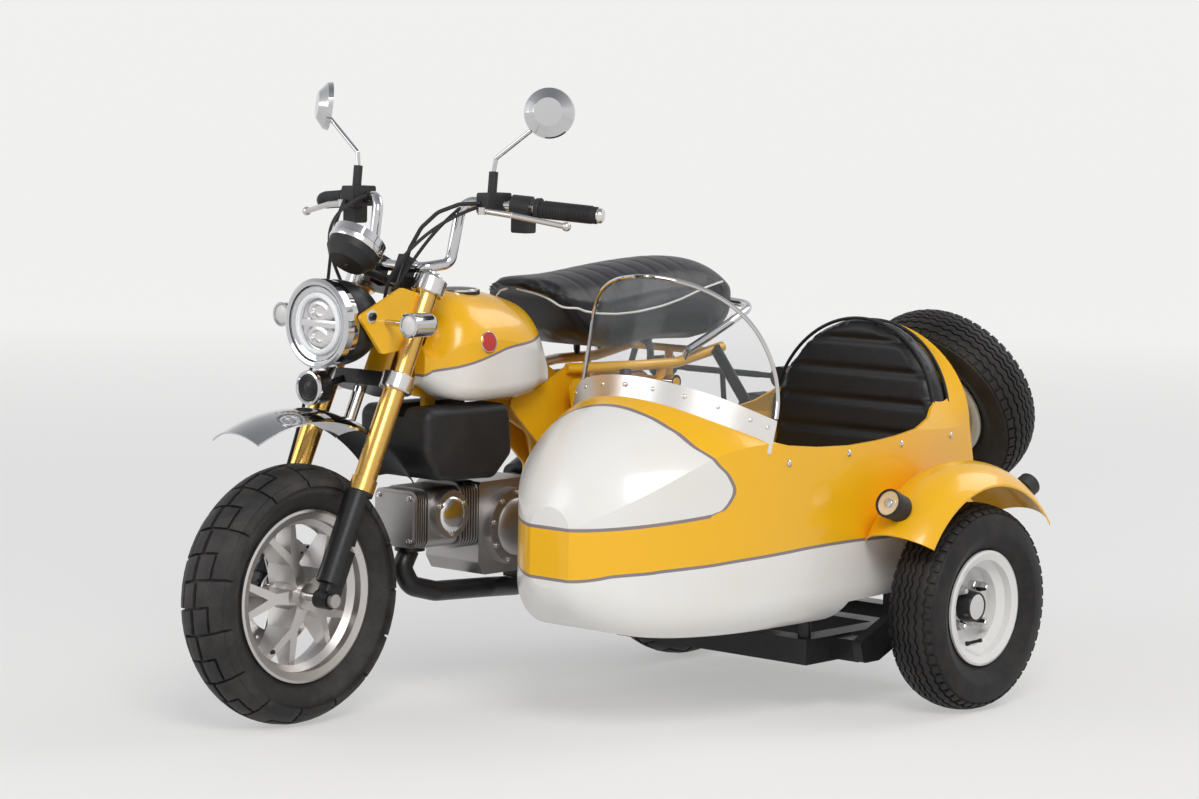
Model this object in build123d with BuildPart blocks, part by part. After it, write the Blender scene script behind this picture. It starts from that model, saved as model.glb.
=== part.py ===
"""A small motorcycle with a one-seat sidecar on its left side, standing on its three wheels.

+X points forward, +Y to the rider's left and +Z up, in millimetres. While the pieces are modelled,
X = 0 and Y = 0 lie on the ground under the rear axle. The last step moves every piece so that the
origin is on the ground under the middle of the whole vehicle.
"""

import math
import os

from build123d import *

# Wheels and where they stand
wheelbase = 1155.0
front_tyre_radius = 248.0
front_tyre_width = 118.0
front_bead_radius = 152.0
front_bead_half_width = 36.0
rear_tyre_radius = 256.0
rear_tyre_width = 128.0
rear_bead_radius = 152.0
rear_bead_half_width = 40.0
side_tyre_radius = 205.0
side_tyre_width = 118.0
side_bead_radius = 101.0
side_bead_half_width = 36.0
side_wheel_lead = 84.0
side_wheel_track = 803.0
flange_height = 14.0
tyre_wall = 9.0
bead_gap = 0.3

# Steering geometry
rake = 25.0
axle_offset = 30.5
fork_half_spacing = 92.0
fork_tube_radius = 22.0
fork_slider_radius = 15.5
lower_yoke_height = 438.0
upper_yoke_height = 637.0
fork_top_height = 652.0
slider_top_height = 216.0
stem_radius = 14.0
head_bore_radius = 14.5
head_tube_radius = 27.0
yoke_gap = 2.0
axle_radius = 8.0
running_gap = 0.3

# Sidecar body
hull_centre = 445.0
hull_wall = 6.0
hull_seam_height = 340.0
cockpit_front = 560.0
cockpit_rear = 20.0
cockpit_half_width = 222.0
cockpit_sill_height = 548.0

# Machine bodywork
tank_half_width = 112.0
tank_bottom = 600.0
seat_half_width = 128.0
fork_lean = math.radians(rake)


# General shapes


def bar(start, end, radius):
    """A straight round bar between two points."""
    run = Vector(*end) - Vector(*start)
    with BuildPart() as piece:
        with BuildSketch(Plane(origin=start, z_dir=run)):
            Circle(radius)
        extrude(amount=run.length)
    return piece.part


def tube(points, radius, bend):
    """A round bar bent along a line of points, with one bend radius or a list of them."""
    with BuildPart() as piece:
        with BuildLine() as path:
            FilletPolyline(*points, radius=bend)
        with BuildSketch(Plane(origin=path.line @ 0, z_dir=path.line % 0)):
            Circle(radius)
        sweep()
    return piece.part


def plate(outline, y_from, y_to, corner=0.0):
    """A flat plate across the vehicle: an outline of (x, z) points, from one y to another."""
    with BuildPart() as piece:
        with BuildSketch(Plane.XZ.offset(-y_from)) as sketch:
            Polygon(*outline, align=None)
            if corner:
                fillet(sketch.vertices(), corner)
        extrude(amount=y_from - y_to)
    return piece.part


def block(low, high, corner=0.0):
    """A box between two corners, with its upright edges rounded."""
    size = [b - a for a, b in zip(low, high)]
    middle = [(a + b) / 2 for a, b in zip(low, high)]
    with BuildPart() as piece:
        with Locations(tuple(middle)):
            Box(*size)
        if corner:
            fillet(piece.edges().filter_by(Axis.Z), corner)
    return piece.part


def disc(centre, axis, radius, thickness, bore=0.0):
    """A round disc with its middle at centre."""
    with BuildPart() as piece:
        with BuildSketch(Plane(origin=centre, z_dir=axis)):
            Circle(radius)
            if bore:
                Circle(bore, mode=Mode.SUBTRACT)
        extrude(amount=thickness / 2, both=True)
    return piece.part


def joined(label, *pieces):
    """One node made from several pieces."""
    with BuildPart() as node:
        for piece in pieces:
            add(piece)
    node.part.label = label
    return node.part


def cut_clear(piece, *others, keep=0.0):
    """A piece with its neighbours cut out of it; scraps smaller than keep are left out."""
    with BuildPart() as rest:
        add(piece)
        for other in others:
            add(other, mode=Mode.SUBTRACT)
    return [solid for solid in rest.part.solids().sort_by(SortBy.VOLUME) if solid.volume > keep]


def moved(piece, x, y, z):
    return piece.moved(Location((x, y, z)))


# Wheels, turned about the Y axis at the origin and then moved to their axles


def tyre(radius, width, bead_radius, bead_half_width, shoulder_drop):
    """A hollow tyre, open to its rim: beads, side walls and a crowned tread."""
    bead = bead_half_width - bead_gap
    seat = bead_radius + bead_gap
    half = width / 2
    widest = seat + (radius - seat) * 0.5
    shoulder = radius - shoulder_drop
    crown_half = half * 0.84
    lip = seat + flange_height
    inner = tyre_wall
    with BuildPart() as piece:
        with BuildSketch(Plane.XY):
            with BuildLine():
                Line((seat, bead), (lip, bead))
                ThreePointArc((lip, bead), (widest, half), (shoulder, crown_half))
                ThreePointArc((shoulder, crown_half), (radius, 0), (shoulder, -crown_half))
                ThreePointArc((shoulder, -crown_half), (widest, -half), (lip, -bead))
                Line((lip, -bead), (seat, -bead))
                Polyline((seat, -bead), (seat, inner - bead), (lip, inner - bead))
                ThreePointArc(
                    (lip, inner - bead), (widest, inner - half), (shoulder - inner, inner - crown_half)
                )
                ThreePointArc(
                    (shoulder - inner, inner - crown_half),
                    (radius - inner, 0),
                    (shoulder - inner, crown_half - inner),
                )
                ThreePointArc(
                    (shoulder - inner, crown_half - inner), (widest, half - inner), (lip, bead - inner)
                )
                Polyline((lip, bead - inner), (seat, bead - inner), (seat, bead))
            make_face()
        revolve(axis=Axis.Y)
    return piece.part


def rim_barrel(bead_radius, bead_half_width, well_depth, skin=6.0):
    """A drop-centre rim: flanges, bead seats and well, in one turned section."""
    half = bead_half_width
    flange = bead_radius + flange_height - 1.0
    well = bead_radius - well_depth
    outline = [
        (bead_radius, half - 14),
        (bead_radius, half),
        (flange, half + 2),
        (flange, half + 7),
        (flange - 5, half + 9),
        (bead_radius - skin, half + 4),
        (bead_radius - skin, half - 12),
        (well - skin, half - 22),
    ]
    mirrored = [(r, -y) for r, y in reversed(outline)]
    floor = [(well, -(half - 24)), (well, half - 24)]
    with BuildPart() as piece:
        with BuildSketch(Plane.XY):
            Polygon(*outline, *mirrored, *floor, align=None)
        revolve(axis=Axis.Y)
    return piece.part


spoke_count = 5


def cast_wheel(bead_radius, bead_half_width, well_depth, hub_half):
    """A cast wheel: rim, hub and five forked spokes that slope from the hub down to the rim."""
    rim_inside = bead_radius - well_depth - 6.0
    hub_radius = 34.0
    spoke_half = hub_half - 4
    fork_radius = rim_inside * 0.52
    with BuildPart() as spokes:
        with BuildSketch(Plane.XZ):
            with PolarLocations(0, spoke_count):
                Polygon(
                    (hub_radius - 14, -15), (fork_radius - 4, -10), (rim_inside + 3, -42), (rim_inside + 3, -28),
                    (fork_radius + 14, 0), (rim_inside + 3, 28), (rim_inside + 3, 42), (fork_radius - 4, 10),
                    (hub_radius - 14, 15), align=None,
                )
        extrude(amount=hub_half, both=True)
        with BuildSketch(Plane.XY):
            Polygon(
                (hub_radius - 16, -spoke_half), (hub_radius + 8, 2 - spoke_half), (rim_inside + 4, -13),
                (rim_inside + 4, 13), (hub_radius + 8, spoke_half - 2), (hub_radius - 16, spoke_half), align=None,
            )
        revolve(axis=Axis.Y, mode=Mode.INTERSECT)
    with BuildPart() as hub:
        with BuildSketch(Plane.XY):
            Polygon(
                (0, -hub_half - 6), (26, -hub_half - 6), (26, -hub_half + 8), (hub_radius, -18),
                (hub_radius, 18), (26, hub_half - 8), (26, hub_half + 6), (0, hub_half + 6), align=None,
            )
        revolve(axis=Axis.Y)
    with BuildPart() as wheel:
        add(rim_barrel(bead_radius, bead_half_width, well_depth))
        add(spokes.part)
        add(hub.part)
        with Locations(Plane.XZ):
            Cylinder(axle_radius + running_gap, 4 * hub_half, mode=Mode.SUBTRACT)
    return wheel.part


def brake_disc(radius, y):
    """A drilled disc on a carrier, at one side of a hub."""
    hole_circle = radius - 15
    with BuildPart() as piece:
        with BuildSketch(Plane.XZ.offset(-y)):
            Circle(radius)
            Circle(radius - 34, mode=Mode.SUBTRACT)
            with PolarLocations(hole_circle, 24):
                Circle(3.5, mode=Mode.SUBTRACT)
            with PolarLocations(0, 5):
                with Locations((radius - 56, 0)):
                    Rectangle(56, 12)
            Circle(38)
            Circle(26 + running_gap, mode=Mode.SUBTRACT)
        extrude(amount=2, both=True)
    return piece.part


front_hub_half = 44.0
rear_hub_half = 48.0
front_disc_y = -front_hub_half + 1
rear_disc_y = -rear_hub_half + 1
front_axle = (wheelbase, 0, front_tyre_radius)
rear_axle = (0, 0, rear_tyre_radius)
side_axle = (side_wheel_lead, side_wheel_track, side_tyre_radius)

front_tyre = joined(
    "front_tyre",
    moved(tyre(front_tyre_radius, front_tyre_width, front_bead_radius, front_bead_half_width, 24), *front_axle),
)
rear_tyre = joined(
    "rear_tyre",
    moved(tyre(rear_tyre_radius, rear_tyre_width, rear_bead_radius, rear_bead_half_width, 26), *rear_axle),
)
side_tyre = joined(
    "sidecar_tyre",
    moved(tyre(side_tyre_radius, side_tyre_width, side_bead_radius, side_bead_half_width, 14), *side_axle),
)
front_rim = joined(
    "front_rim", moved(cast_wheel(front_bead_radius, front_bead_half_width, 12, front_hub_half), *front_axle)
)
rear_rim = joined(
    "rear_rim", moved(cast_wheel(rear_bead_radius, rear_bead_half_width, 12, rear_hub_half), *rear_axle)
)
front_disc = joined("front_brake_disc", moved(brake_disc(110, front_disc_y), *front_axle))

sprocket_teeth = 28
sprocket_radius = 62.0
sprocket_y = 76.0
with BuildPart() as sprocket_part:
    with BuildSketch(Plane.XZ.offset(-sprocket_y)):
        Circle(sprocket_radius)
        with PolarLocations(sprocket_radius, sprocket_teeth):
            RegularPolygon(4.5, 4)
    extrude(amount=2.5, both=True)
    with BuildSketch(Plane.XZ.offset(-rear_hub_half - 6)):
        Circle(44)
    extrude(amount=-(sprocket_y - rear_hub_half - 6))
    with Locations(Plane.XZ):
        Cylinder(axle_radius + running_gap, 400, mode=Mode.SUBTRACT)
rear_drive = joined(
    "rear_sprocket_and_disc",
    moved(sprocket_part.part, *rear_axle),
    moved(brake_disc(95, rear_disc_y), *rear_axle),
)


def pressed_wheel(nut_side):
    """A pressed steel disc wheel: rim, dished disc with a centre hole and four stud holes.
    nut_side is 1 with the hollow side towards +Y."""
    inside = side_bead_radius - 16 - 6
    with BuildPart() as wheel:
        add(rim_barrel(side_bead_radius, side_bead_half_width, 16))
        with BuildSketch(Plane.XY):
            Polygon(
                (32, -16 * nut_side), (68, -16 * nut_side), (80, -8 * nut_side), (inside + 3, -8 * nut_side),
                (inside + 3, -13 * nut_side), (81, -13 * nut_side), (70, -21 * nut_side), (32, -21 * nut_side),
                align=None,
            )
        revolve(axis=Axis.Y)
        with BuildSketch(Plane.XZ):
            with PolarLocations(50, 4, start_angle=45):
                Circle(6)
        extrude(amount=40, both=True, mode=Mode.SUBTRACT)
    return wheel.part


side_rim = joined("sidecar_rim", moved(pressed_wheel(1), *side_axle))

hub_cap_reach = 24.0
with BuildPart() as hub_part:
    with BuildSketch(Plane.XY):
        Polygon(
            (10 + running_gap, -62), (24, -62), (24, -34), (62, -34), (62, -21.3), (31.5, -21.3),
            (31.5, 0), (28, hub_cap_reach), (0, hub_cap_reach), (0, -4), (10 + running_gap, -4), align=None,
        )
    revolve(axis=Axis.Y)
    with Locations(Plane.XZ.offset(-2.5)):
        with PolarLocations(50, 4, start_angle=45):
            Cylinder(5.5, 40)
    with Locations(Plane.XZ.offset(9)):
        with PolarLocations(50, 4, start_angle=45):
            Cylinder(11, 12)
side_hub = joined("sidecar_hub", moved(hub_part.part, *side_axle))


# Steered body. A place on the fork is a distance up the legs from the front axle.


def on_fork(height, y=0.0, ahead=0.0):
    """A point beside the fork legs' plane: height up from the axle, y across, ahead at a right angle."""
    return (
        wheelbase - math.sin(fork_lean) * height + math.cos(fork_lean) * ahead,
        y,
        front_tyre_radius + math.cos(fork_lean) * height + math.sin(fork_lean) * ahead,
    )


def fork_plane(height, y=0.0, ahead=0.0):
    """A plane square to the fork legs, its local x pointing ahead and its local y to the left."""
    along = (-math.sin(fork_lean), 0, math.cos(fork_lean))
    return Plane(
        origin=on_fork(height, y, ahead), x_dir=(math.cos(fork_lean), 0, math.sin(fork_lean)), z_dir=along
    )


yoke_thick = 30.0
bar_radius = 11.0
clamp_lead = 22.0
clamp_height = 30.0
clamp_half_spacing = 36.0
bar_centre = on_fork(upper_yoke_height + clamp_height, 0, clamp_lead)
with BuildPart() as yoke_part:
    for level, thick in ((lower_yoke_height, yoke_thick), (upper_yoke_height, yoke_thick - 6)):
        with BuildSketch(fork_plane(level - thick / 2)):
            with Locations((0, fork_half_spacing), (0, -fork_half_spacing)):
                Circle(fork_tube_radius + 9)
            with Locations((-axle_offset, 0)):
                Circle(24)
            Polygon(
                (-axle_offset - 20, 0), (-14, fork_half_spacing - 6), (14, fork_half_spacing - 6),
                (18, 0), (14, 6 - fork_half_spacing), (-14, 6 - fork_half_spacing), align=None,
            )
            with Locations((0, fork_half_spacing), (0, -fork_half_spacing)):
                Circle(fork_tube_radius, mode=Mode.SUBTRACT)
        extrude(amount=thick)
    with BuildSketch(fork_plane(lower_yoke_height, ahead=-axle_offset)):
        Circle(stem_radius)
    extrude(amount=upper_yoke_height - lower_yoke_height)
    for side in (1, -1):
        with BuildSketch(fork_plane(upper_yoke_height - 12, clamp_half_spacing * side, clamp_lead)):
            RectangleRounded(40, 24, 5)
        extrude(amount=clamp_height + 30)
    add(bar((bar_centre[0], -80, bar_centre[2]), (bar_centre[0], 80, bar_centre[2]), bar_radius), mode=Mode.SUBTRACT)
yokes = joined("yokes_and_stem", yoke_part.part)

with BuildPart() as fork_part:
    for side in (1, -1):
        with BuildSketch(fork_plane(slider_top_height, fork_half_spacing * side)):
            Circle(fork_tube_radius)
        extrude(amount=fork_top_height - slider_top_height)
        with BuildSketch(fork_plane(slider_top_height, fork_half_spacing * side)):
            Circle(fork_tube_radius + 3)
        extrude(amount=26)
    chamfer(fork_part.edges().group_by(Axis.Z)[-1], 3)
fork_tubes = joined("fork_tubes", fork_part.part)

axle_lug_radius = 18.0
with BuildPart() as slider_part:
    for side in (1, -1):
        y = fork_half_spacing * side
        with BuildSketch(fork_plane(0, y)):
            Circle(fork_slider_radius)
        extrude(amount=slider_top_height)
        with BuildSketch(Plane.XZ.offset(-y)):
            with Locations((wheelbase, front_tyre_radius)):
                Circle(axle_lug_radius)
        extrude(amount=16, both=True)
        with BuildSketch(fork_plane(14, y, -6)):
            RectangleRounded(44, 30, 8)
        extrude(amount=88)
        with BuildSketch(Plane.XZ):
            with Locations((wheelbase, front_tyre_radius)):
                Circle(axle_radius + running_gap)
        extrude(amount=120, both=True, mode=Mode.SUBTRACT)
sliders = joined("fork_sliders", slider_part.part)

guard_wall = 2.5
guard_radius = 23.5
with BuildPart() as guard_part:
    for side in (1, -1):
        y = fork_half_spacing * side
        with BuildSketch(fork_plane(30, y, 3)):
            Circle(guard_radius + guard_wall)
            Circle(guard_radius, mode=Mode.SUBTRACT)
            with Locations((-30, 0)):
                Rectangle(60, 80, mode=Mode.SUBTRACT)
        extrude(amount=slider_top_height - 34)
        with BuildSketch(fork_plane(110, y, 3)):
            Circle(guard_radius + guard_wall)
            with Locations((-3, 0)):
                Circle(fork_slider_radius, mode=Mode.SUBTRACT)
            with Locations((-32, 0)):
                Rectangle(40, 80, mode=Mode.SUBTRACT)
        extrude(amount=20)
fork_lowers = joined("fork_lowers", sliders, guard_part.part)

axle_reach = fork_half_spacing + 24
front_spindle = joined(
    "front_axle",
    disc(front_axle, (0, 1, 0), axle_radius, 2 * axle_reach),
    disc((wheelbase, axle_reach, front_tyre_radius), (0, 1, 0), 13, 10),
    disc((wheelbase, -axle_reach, front_tyre_radius), (0, 1, 0), 13, 10),
)

# Handlebar: the left half's line, mirrored
grip_end_y = 377.0
half_bar = [
    (bar_centre[0], 84, bar_centre[2]),
    (bar_centre[0] - 50, 106, bar_centre[2] + 8),
    (bar_centre[0] - 74, 113, bar_centre[2] + 128),
    (bar_centre[0] - 176, grip_end_y - 2, bar_centre[2] + 108),
]
bar_points = [(x, -y, z) for x, y, z in reversed(half_bar)] + half_bar
handlebar = joined("handlebar", tube(bar_points, bar_radius, [30, 20, 20, 20, 20, 30]))

grip_start = Vector(*half_bar[2])
grip_run = Vector(*half_bar[3]) - grip_start
grip_dir = grip_run.normalized()


def on_grip(distance, side, ahead=0.0, up=0.0):
    """A point along a grip from the bar's outer bend, on the left for side 1 and on the right for -1."""
    p = grip_start + grip_dir * distance + Vector(ahead, 0, up)
    return (p.X, p.Y * side, p.Z)


def grip_tube(start, end, radius, side, bore=None):
    a, b = on_grip(start, side), on_grip(end, side)
    run = Vector(*b) - Vector(*a)
    with BuildPart() as piece:
        with BuildSketch(Plane(origin=a, z_dir=run)):
            Circle(radius)
            Circle(bore or bar_radius + running_gap, mode=Mode.SUBTRACT)
        extrude(amount=run.length)
    return piece.part


grip_length = grip_run.length
both = (1, -1)
grips = joined(
    "grips",
    *[grip_tube(grip_length - 122, grip_length - 4, 16.5, s) for s in both],
    *[grip_tube(grip_length - 128, grip_length - 122, 21, s) for s in both],
)


def held_block(y_low, y_high, z_low, z_high, x_low, x_high, side):
    """A small housing on the bar, between two places across it, with the bar's own bore through it."""
    line = [on_grip(d, side) for d in (-40, grip_length + 40)]
    with BuildPart() as housing:
        add(block((x_low, min(y_low * side, y_high * side), z_low), (x_high, max(y_low * side, y_high * side), z_high)))
        fillet(housing.edges().filter_by(Axis.Y), 5)
        add(bar(*line, bar_radius + running_gap), mode=Mode.SUBTRACT)
    return housing.part


bar_bend = half_bar[2]
switches = joined(
    "switches",
    *[grip_tube(106, 144, 23, s) for s in both],
    *[held_block(212, 246, bar_bend[2] - 58, bar_bend[2] - 20, bar_bend[0] - 66, bar_bend[0] - 32, s) for s in both],
)

boot_y = 184.0
boot_foot = bar_bend[2] + 16
mirror_foot = {s: (bar_bend[0] - 12, boot_y * s, boot_foot + 42) for s in both}
perch_pieces = []
for s in both:
    perch_pieces.append(
        held_block(168, 200, bar_bend[2] - 22, bar_bend[2] + 18, bar_bend[0] - 46, bar_bend[0] + 18, s)
    )
    perch_pieces.append(bar((bar_bend[0] - 8, boot_y * s, bar_bend[2] + 16), mirror_foot[s], 9))
perches = joined("perches", *perch_pieces)
bar_controls = joined("bar_controls", switches, perches)

lever_pieces = []
lever_height = bar_bend[2] - 16
for s in both:
    pivot = (bar_bend[0] + 18.5, 190 * s, lever_height)
    elbow = (bar_bend[0] + 8, 250 * s, lever_height - 6)
    tip = (bar_bend[0] - 34, 353 * s, lever_height - 24)
    with BuildPart() as lever:
        add(bar(pivot, elbow, 6))
        add(bar(elbow, tip, 5.5))
        with Locations(elbow):
            Sphere(6)
        with Locations(tip):
            Sphere(9)
        with Locations((bar_bend[0] + 26, 190 * s, lever_height)):
            Cylinder(8, 14)
    lever_pieces.append(lever.part)
with BuildPart() as lever_part:
    for piece in lever_pieces:
        add(piece)
    add(perches, mode=Mode.SUBTRACT)
levers = joined("levers", lever_part.part)

mirror_radius = 49.0
mirror_centre = (788.0, 306.0, 1164.0)
mirror_facing = (0.78, 0.58, 0.10)
with BuildPart() as mirror_part:
    for s in both:
        facing = Plane(
            origin=(mirror_centre[0], mirror_centre[1] * s, mirror_centre[2]),
            x_dir=(-mirror_facing[1], mirror_facing[0] * s, 0),
            z_dir=(mirror_facing[0], mirror_facing[1] * s, mirror_facing[2]),
        )
        with BuildSketch(facing.offset(-14)):
            Circle(mirror_radius)
        with BuildSketch(facing.offset(-4)):
            Circle(mirror_radius - 2)
        with BuildSketch(facing.offset(12)):
            Circle(mirror_radius - 22)
        loft(ruled=True)
stem_bend = {s: (mirror_foot[s][0] - 2, (boot_y + 4) * s, mirror_foot[s][2] + 26) for s in both}
with BuildPart() as stem_part:
    for s in both:
        head = (mirror_centre[0] + 4, (mirror_centre[1] - 26) * s, mirror_centre[2] - 26)
        add(bar(mirror_foot[s], stem_bend[s], 4.5))
        add(bar(stem_bend[s], head, 4.5))
        with Locations(stem_bend[s]):
            Sphere(4.5)
mirrors = joined("mirrors", mirror_part.part, *cut_clear(stem_part.part, perches))

# Headlamp, stays, signals, meter and horn
lamp_height = 758.0
lamp_front = 1098.0
lamp_radius = 86.0
with BuildPart() as shell_part:
    with BuildSketch(Plane.XZ):
        with BuildLine():
            Polyline((lamp_front - 138, 0), (lamp_front - 138, 34))
            ThreePointArc((lamp_front - 138, 34), (lamp_front - 100, 70), (lamp_front - 36, 81))
            Polyline((lamp_front - 36, 81), (lamp_front - 36, 0), (lamp_front - 138, 0))
        make_face()
    revolve(axis=Axis.X)
headlamp_shell = joined("headlamp_shell", moved(shell_part.part, 0, 0, lamp_height))
with BuildPart() as ring_part:
    with BuildSketch(Plane.XZ):
        Polygon(
            (lamp_front - 35.7, 0), (lamp_front - 35.7, lamp_radius - 3), (lamp_front - 20, lamp_radius),
            (lamp_front - 4, lamp_radius), (lamp_front, lamp_radius - 6), (lamp_front - 2, lamp_radius - 12),
            (lamp_front - 30, lamp_radius - 14.2), (lamp_front - 30, 0), align=None,
        )
    revolve(axis=Axis.X)
lens_rim = lamp_radius - 14.5
lens_crown = 7.0
lens_curve = (lens_rim**2 + (lens_crown + 3) ** 2) / (2 * (lens_crown + 3))
lens_bulge = lens_curve - math.sqrt(lens_curve**2 - (lens_rim / 2) ** 2)
with BuildPart() as lens_part:
    with BuildSketch(Plane.XZ):
        with BuildLine():
            Polyline((lamp_front - 29.7, 0), (lamp_front - 29.7, lamp_radius - 14.5))
            Line((lamp_front - 29.7, lamp_radius - 14.5), (lamp_front - 3, lens_rim))
            ThreePointArc(
                (lamp_front - 3, lens_rim), (lamp_front + lens_crown - lens_bulge, lens_rim / 2),
                (lamp_front + lens_crown, 0),
            )
            Line((lamp_front + lens_crown, 0), (lamp_front - 29.7, 0))
        make_face()
    revolve(axis=Axis.X)
headlamp_lens = joined("headlamp_lens", moved(lens_part.part, 0, 0, lamp_height))

stay_outline = [(1072, 776), (958, 826), (905, 812), (950, 708), (1010, 702)]
stay_y = fork_half_spacing - 8
with BuildPart() as stay_part:
    for s in both:
        add(plate(stay_outline, stay_y * s, (stay_y + 8) * s, corner=8))
        add(bar((1040, 77 * s, 775), (1040, stay_y * s, 775), 9))
    for s in both:
        with BuildSketch(fork_plane(460, fork_half_spacing * s)):
            Circle(fork_tube_radius + running_gap)
        extrude(amount=170, mode=Mode.SUBTRACT)
    add(headlamp_shell, mode=Mode.SUBTRACT)
lamp_stays = joined("headlamp_stays", stay_part.part)

signal_y = 173.0
signals = joined(
    "front_signals",
    *[bar((1000, (stay_y + 8) * s, 762), (1000, (signal_y - 16) * s, 762), 6) for s in both],
    *[disc((996, signal_y * s, 762), (1, 0, 0), 23, 48) for s in both],
)

meter_centre = Vector(1000, 0, 893)
meter_axis = Vector(-0.62, 0, 0.79)
with BuildPart() as meter_part:
    with BuildSketch(Plane(origin=meter_centre - meter_axis * 30, z_dir=meter_axis)):
        Circle(36)
    with BuildSketch(Plane(origin=meter_centre - meter_axis * 10, z_dir=meter_axis)):
        Circle(51)
    with BuildSketch(Plane(origin=meter_centre + meter_axis * 16, z_dir=meter_axis)):
        Circle(53)
    loft(ruled=True)
    add(bar(tuple(meter_centre - meter_axis * 26), on_fork(upper_yoke_height, 0, 12), 8))
    add(yokes, mode=Mode.SUBTRACT)
meter = joined("meter", meter_part.part)
chrome_rings = joined(
    "chrome_rings",
    moved(ring_part.part, 0, 0, lamp_height),
    disc(tuple(meter_centre + meter_axis * 24.2), tuple(meter_axis), 54, 16, bore=46),
)
horn_y = -40.0
with BuildPart() as horn_part:
    add(disc((1058, horn_y, 632), (1, 0, 0), 32, 34))
    add(bar((1041, horn_y, 632), on_fork(lower_yoke_height - 4, horn_y, 10), 7))
    add(yokes, mode=Mode.SUBTRACT)
horn = joined("horn", horn_part.part)

# Front mudguard: a curved shell about the front axle, hung from the lower yoke
guard_arc_radius = 354.0
guard_half_width = 62.0


def mudguard(centre, radius, half_width, crown, thickness, start_angle, end_angle):
    """A crowned shell that runs round an axle between two angles, from straight ahead upwards."""
    with BuildPart() as piece:
        with BuildSketch(Plane.XY):
            with BuildLine():
                ThreePointArc((radius - crown, -half_width), (radius, 0), (radius - crown, half_width))
                Line((radius - crown, half_width), (radius - crown - thickness, half_width))
                ThreePointArc(
                    (radius - crown - thickness, half_width),
                    (radius - thickness, 0),
                    (radius - crown - thickness, -half_width),
                )
                Line((radius - crown - thickness, -half_width), (radius - crown, -half_width))
            make_face()
        revolve(axis=Axis.Y, revolution_arc=end_angle - start_angle)
    return piece.part.rotate(Axis.Y, -end_angle).moved(Location(centre))


guard_tail_start = 122
guard_bracket = bar(on_fork(guard_arc_radius - 1, 0), on_fork(lower_yoke_height - yoke_thick / 2, 0), 12)
front_mudguard = joined(
    "front_mudguard",
    mudguard(front_axle, guard_arc_radius, guard_half_width, 22, 3, 64, guard_tail_start),
    guard_bracket,
)
front_mudguard_tail = joined(
    "front_mudguard_tail",
    mudguard(front_axle, guard_arc_radius, guard_half_width - 3, 22, 3, guard_tail_start, 144),
)

caliper_gap = 6.0
caliper_face = front_disc_y - 2 - caliper_gap
block_face = -(fork_half_spacing - 15)
with BuildPart() as caliper_part:
    with BuildSketch(Plane.XZ.offset(-caliper_face)) as caliper_sketch:
        with Locations((wheelbase - 92, front_tyre_radius + 36)):
            Rectangle(46, 84)
        fillet(caliper_sketch.vertices(), 12)
    extrude(amount=caliper_face - block_face - 5)
    add(plate([(1120, 262), (1092, 336), (1050, 322), (1050, 262)], block_face, block_face + 5))
caliper = joined("brake_caliper", caliper_part.part)

# Cables that stay on the steered side
clutch_cable = [
    (bar_bend[0] + 18.4, 178, bar_bend[2] - 2),
    (bar_bend[0] + 48, 152, bar_bend[2] - 4),
    (bar_bend[0] + 78, 124, bar_bend[2] - 20),
    (bar_bend[0] + 96, 98, bar_bend[2] - 50),
    (bar_bend[0] + 104, 76, bar_bend[2] - 90),
    (bar_bend[0] + 104, 60, bar_bend[2] - 132),
    (bar_bend[0] + 100, 50, bar_bend[2] - 170),
]
cable_radius = 4.0
cables = joined("control_cables", *cut_clear(tube(clutch_cable, cable_radius, 34), perches))

# Main frame

neck_low = lower_yoke_height + yoke_thick / 2 + yoke_gap
neck_high = upper_yoke_height - yoke_thick / 2 + 3 - yoke_gap
spine = [(877, 0, 714), (740, 0, 645), (600, 0, 585), (478, 0, 520), (430, 0, 344)]
side_plate = [(612, 588), (530, 602), (420, 652), (330, 600), (384, 304), (450, 296), (462, 440), (592, 560)]
rail = [(440, 50, 640), (300, 104, 642), (170, 112, 642), (20, 112, 668)]
pivot = (430, 0, 330)
shock_top = (205, 132, 606)
shock_foot = (62, 132, 300)
rear_guard_radius = 296.0
guard_stay_x = 60.0
guard_stay_radius = 9.0
guard_stay_foot = rear_tyre_radius + running_gap + math.sqrt(
    rear_guard_radius**2 - (guard_stay_x - guard_stay_radius) ** 2
)
tunnel_half = 33.0
box_groove = ((960, 575), (620, 540))


def hanger_foot(x):
    """The height at which the air box's hanger meets the groove in the box's top."""
    (x_high, z_high), (x_low, z_low) = box_groove
    return z_low + (x - x_low) * (z_high - z_low) / (x_high - x_low) + running_gap


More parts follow.
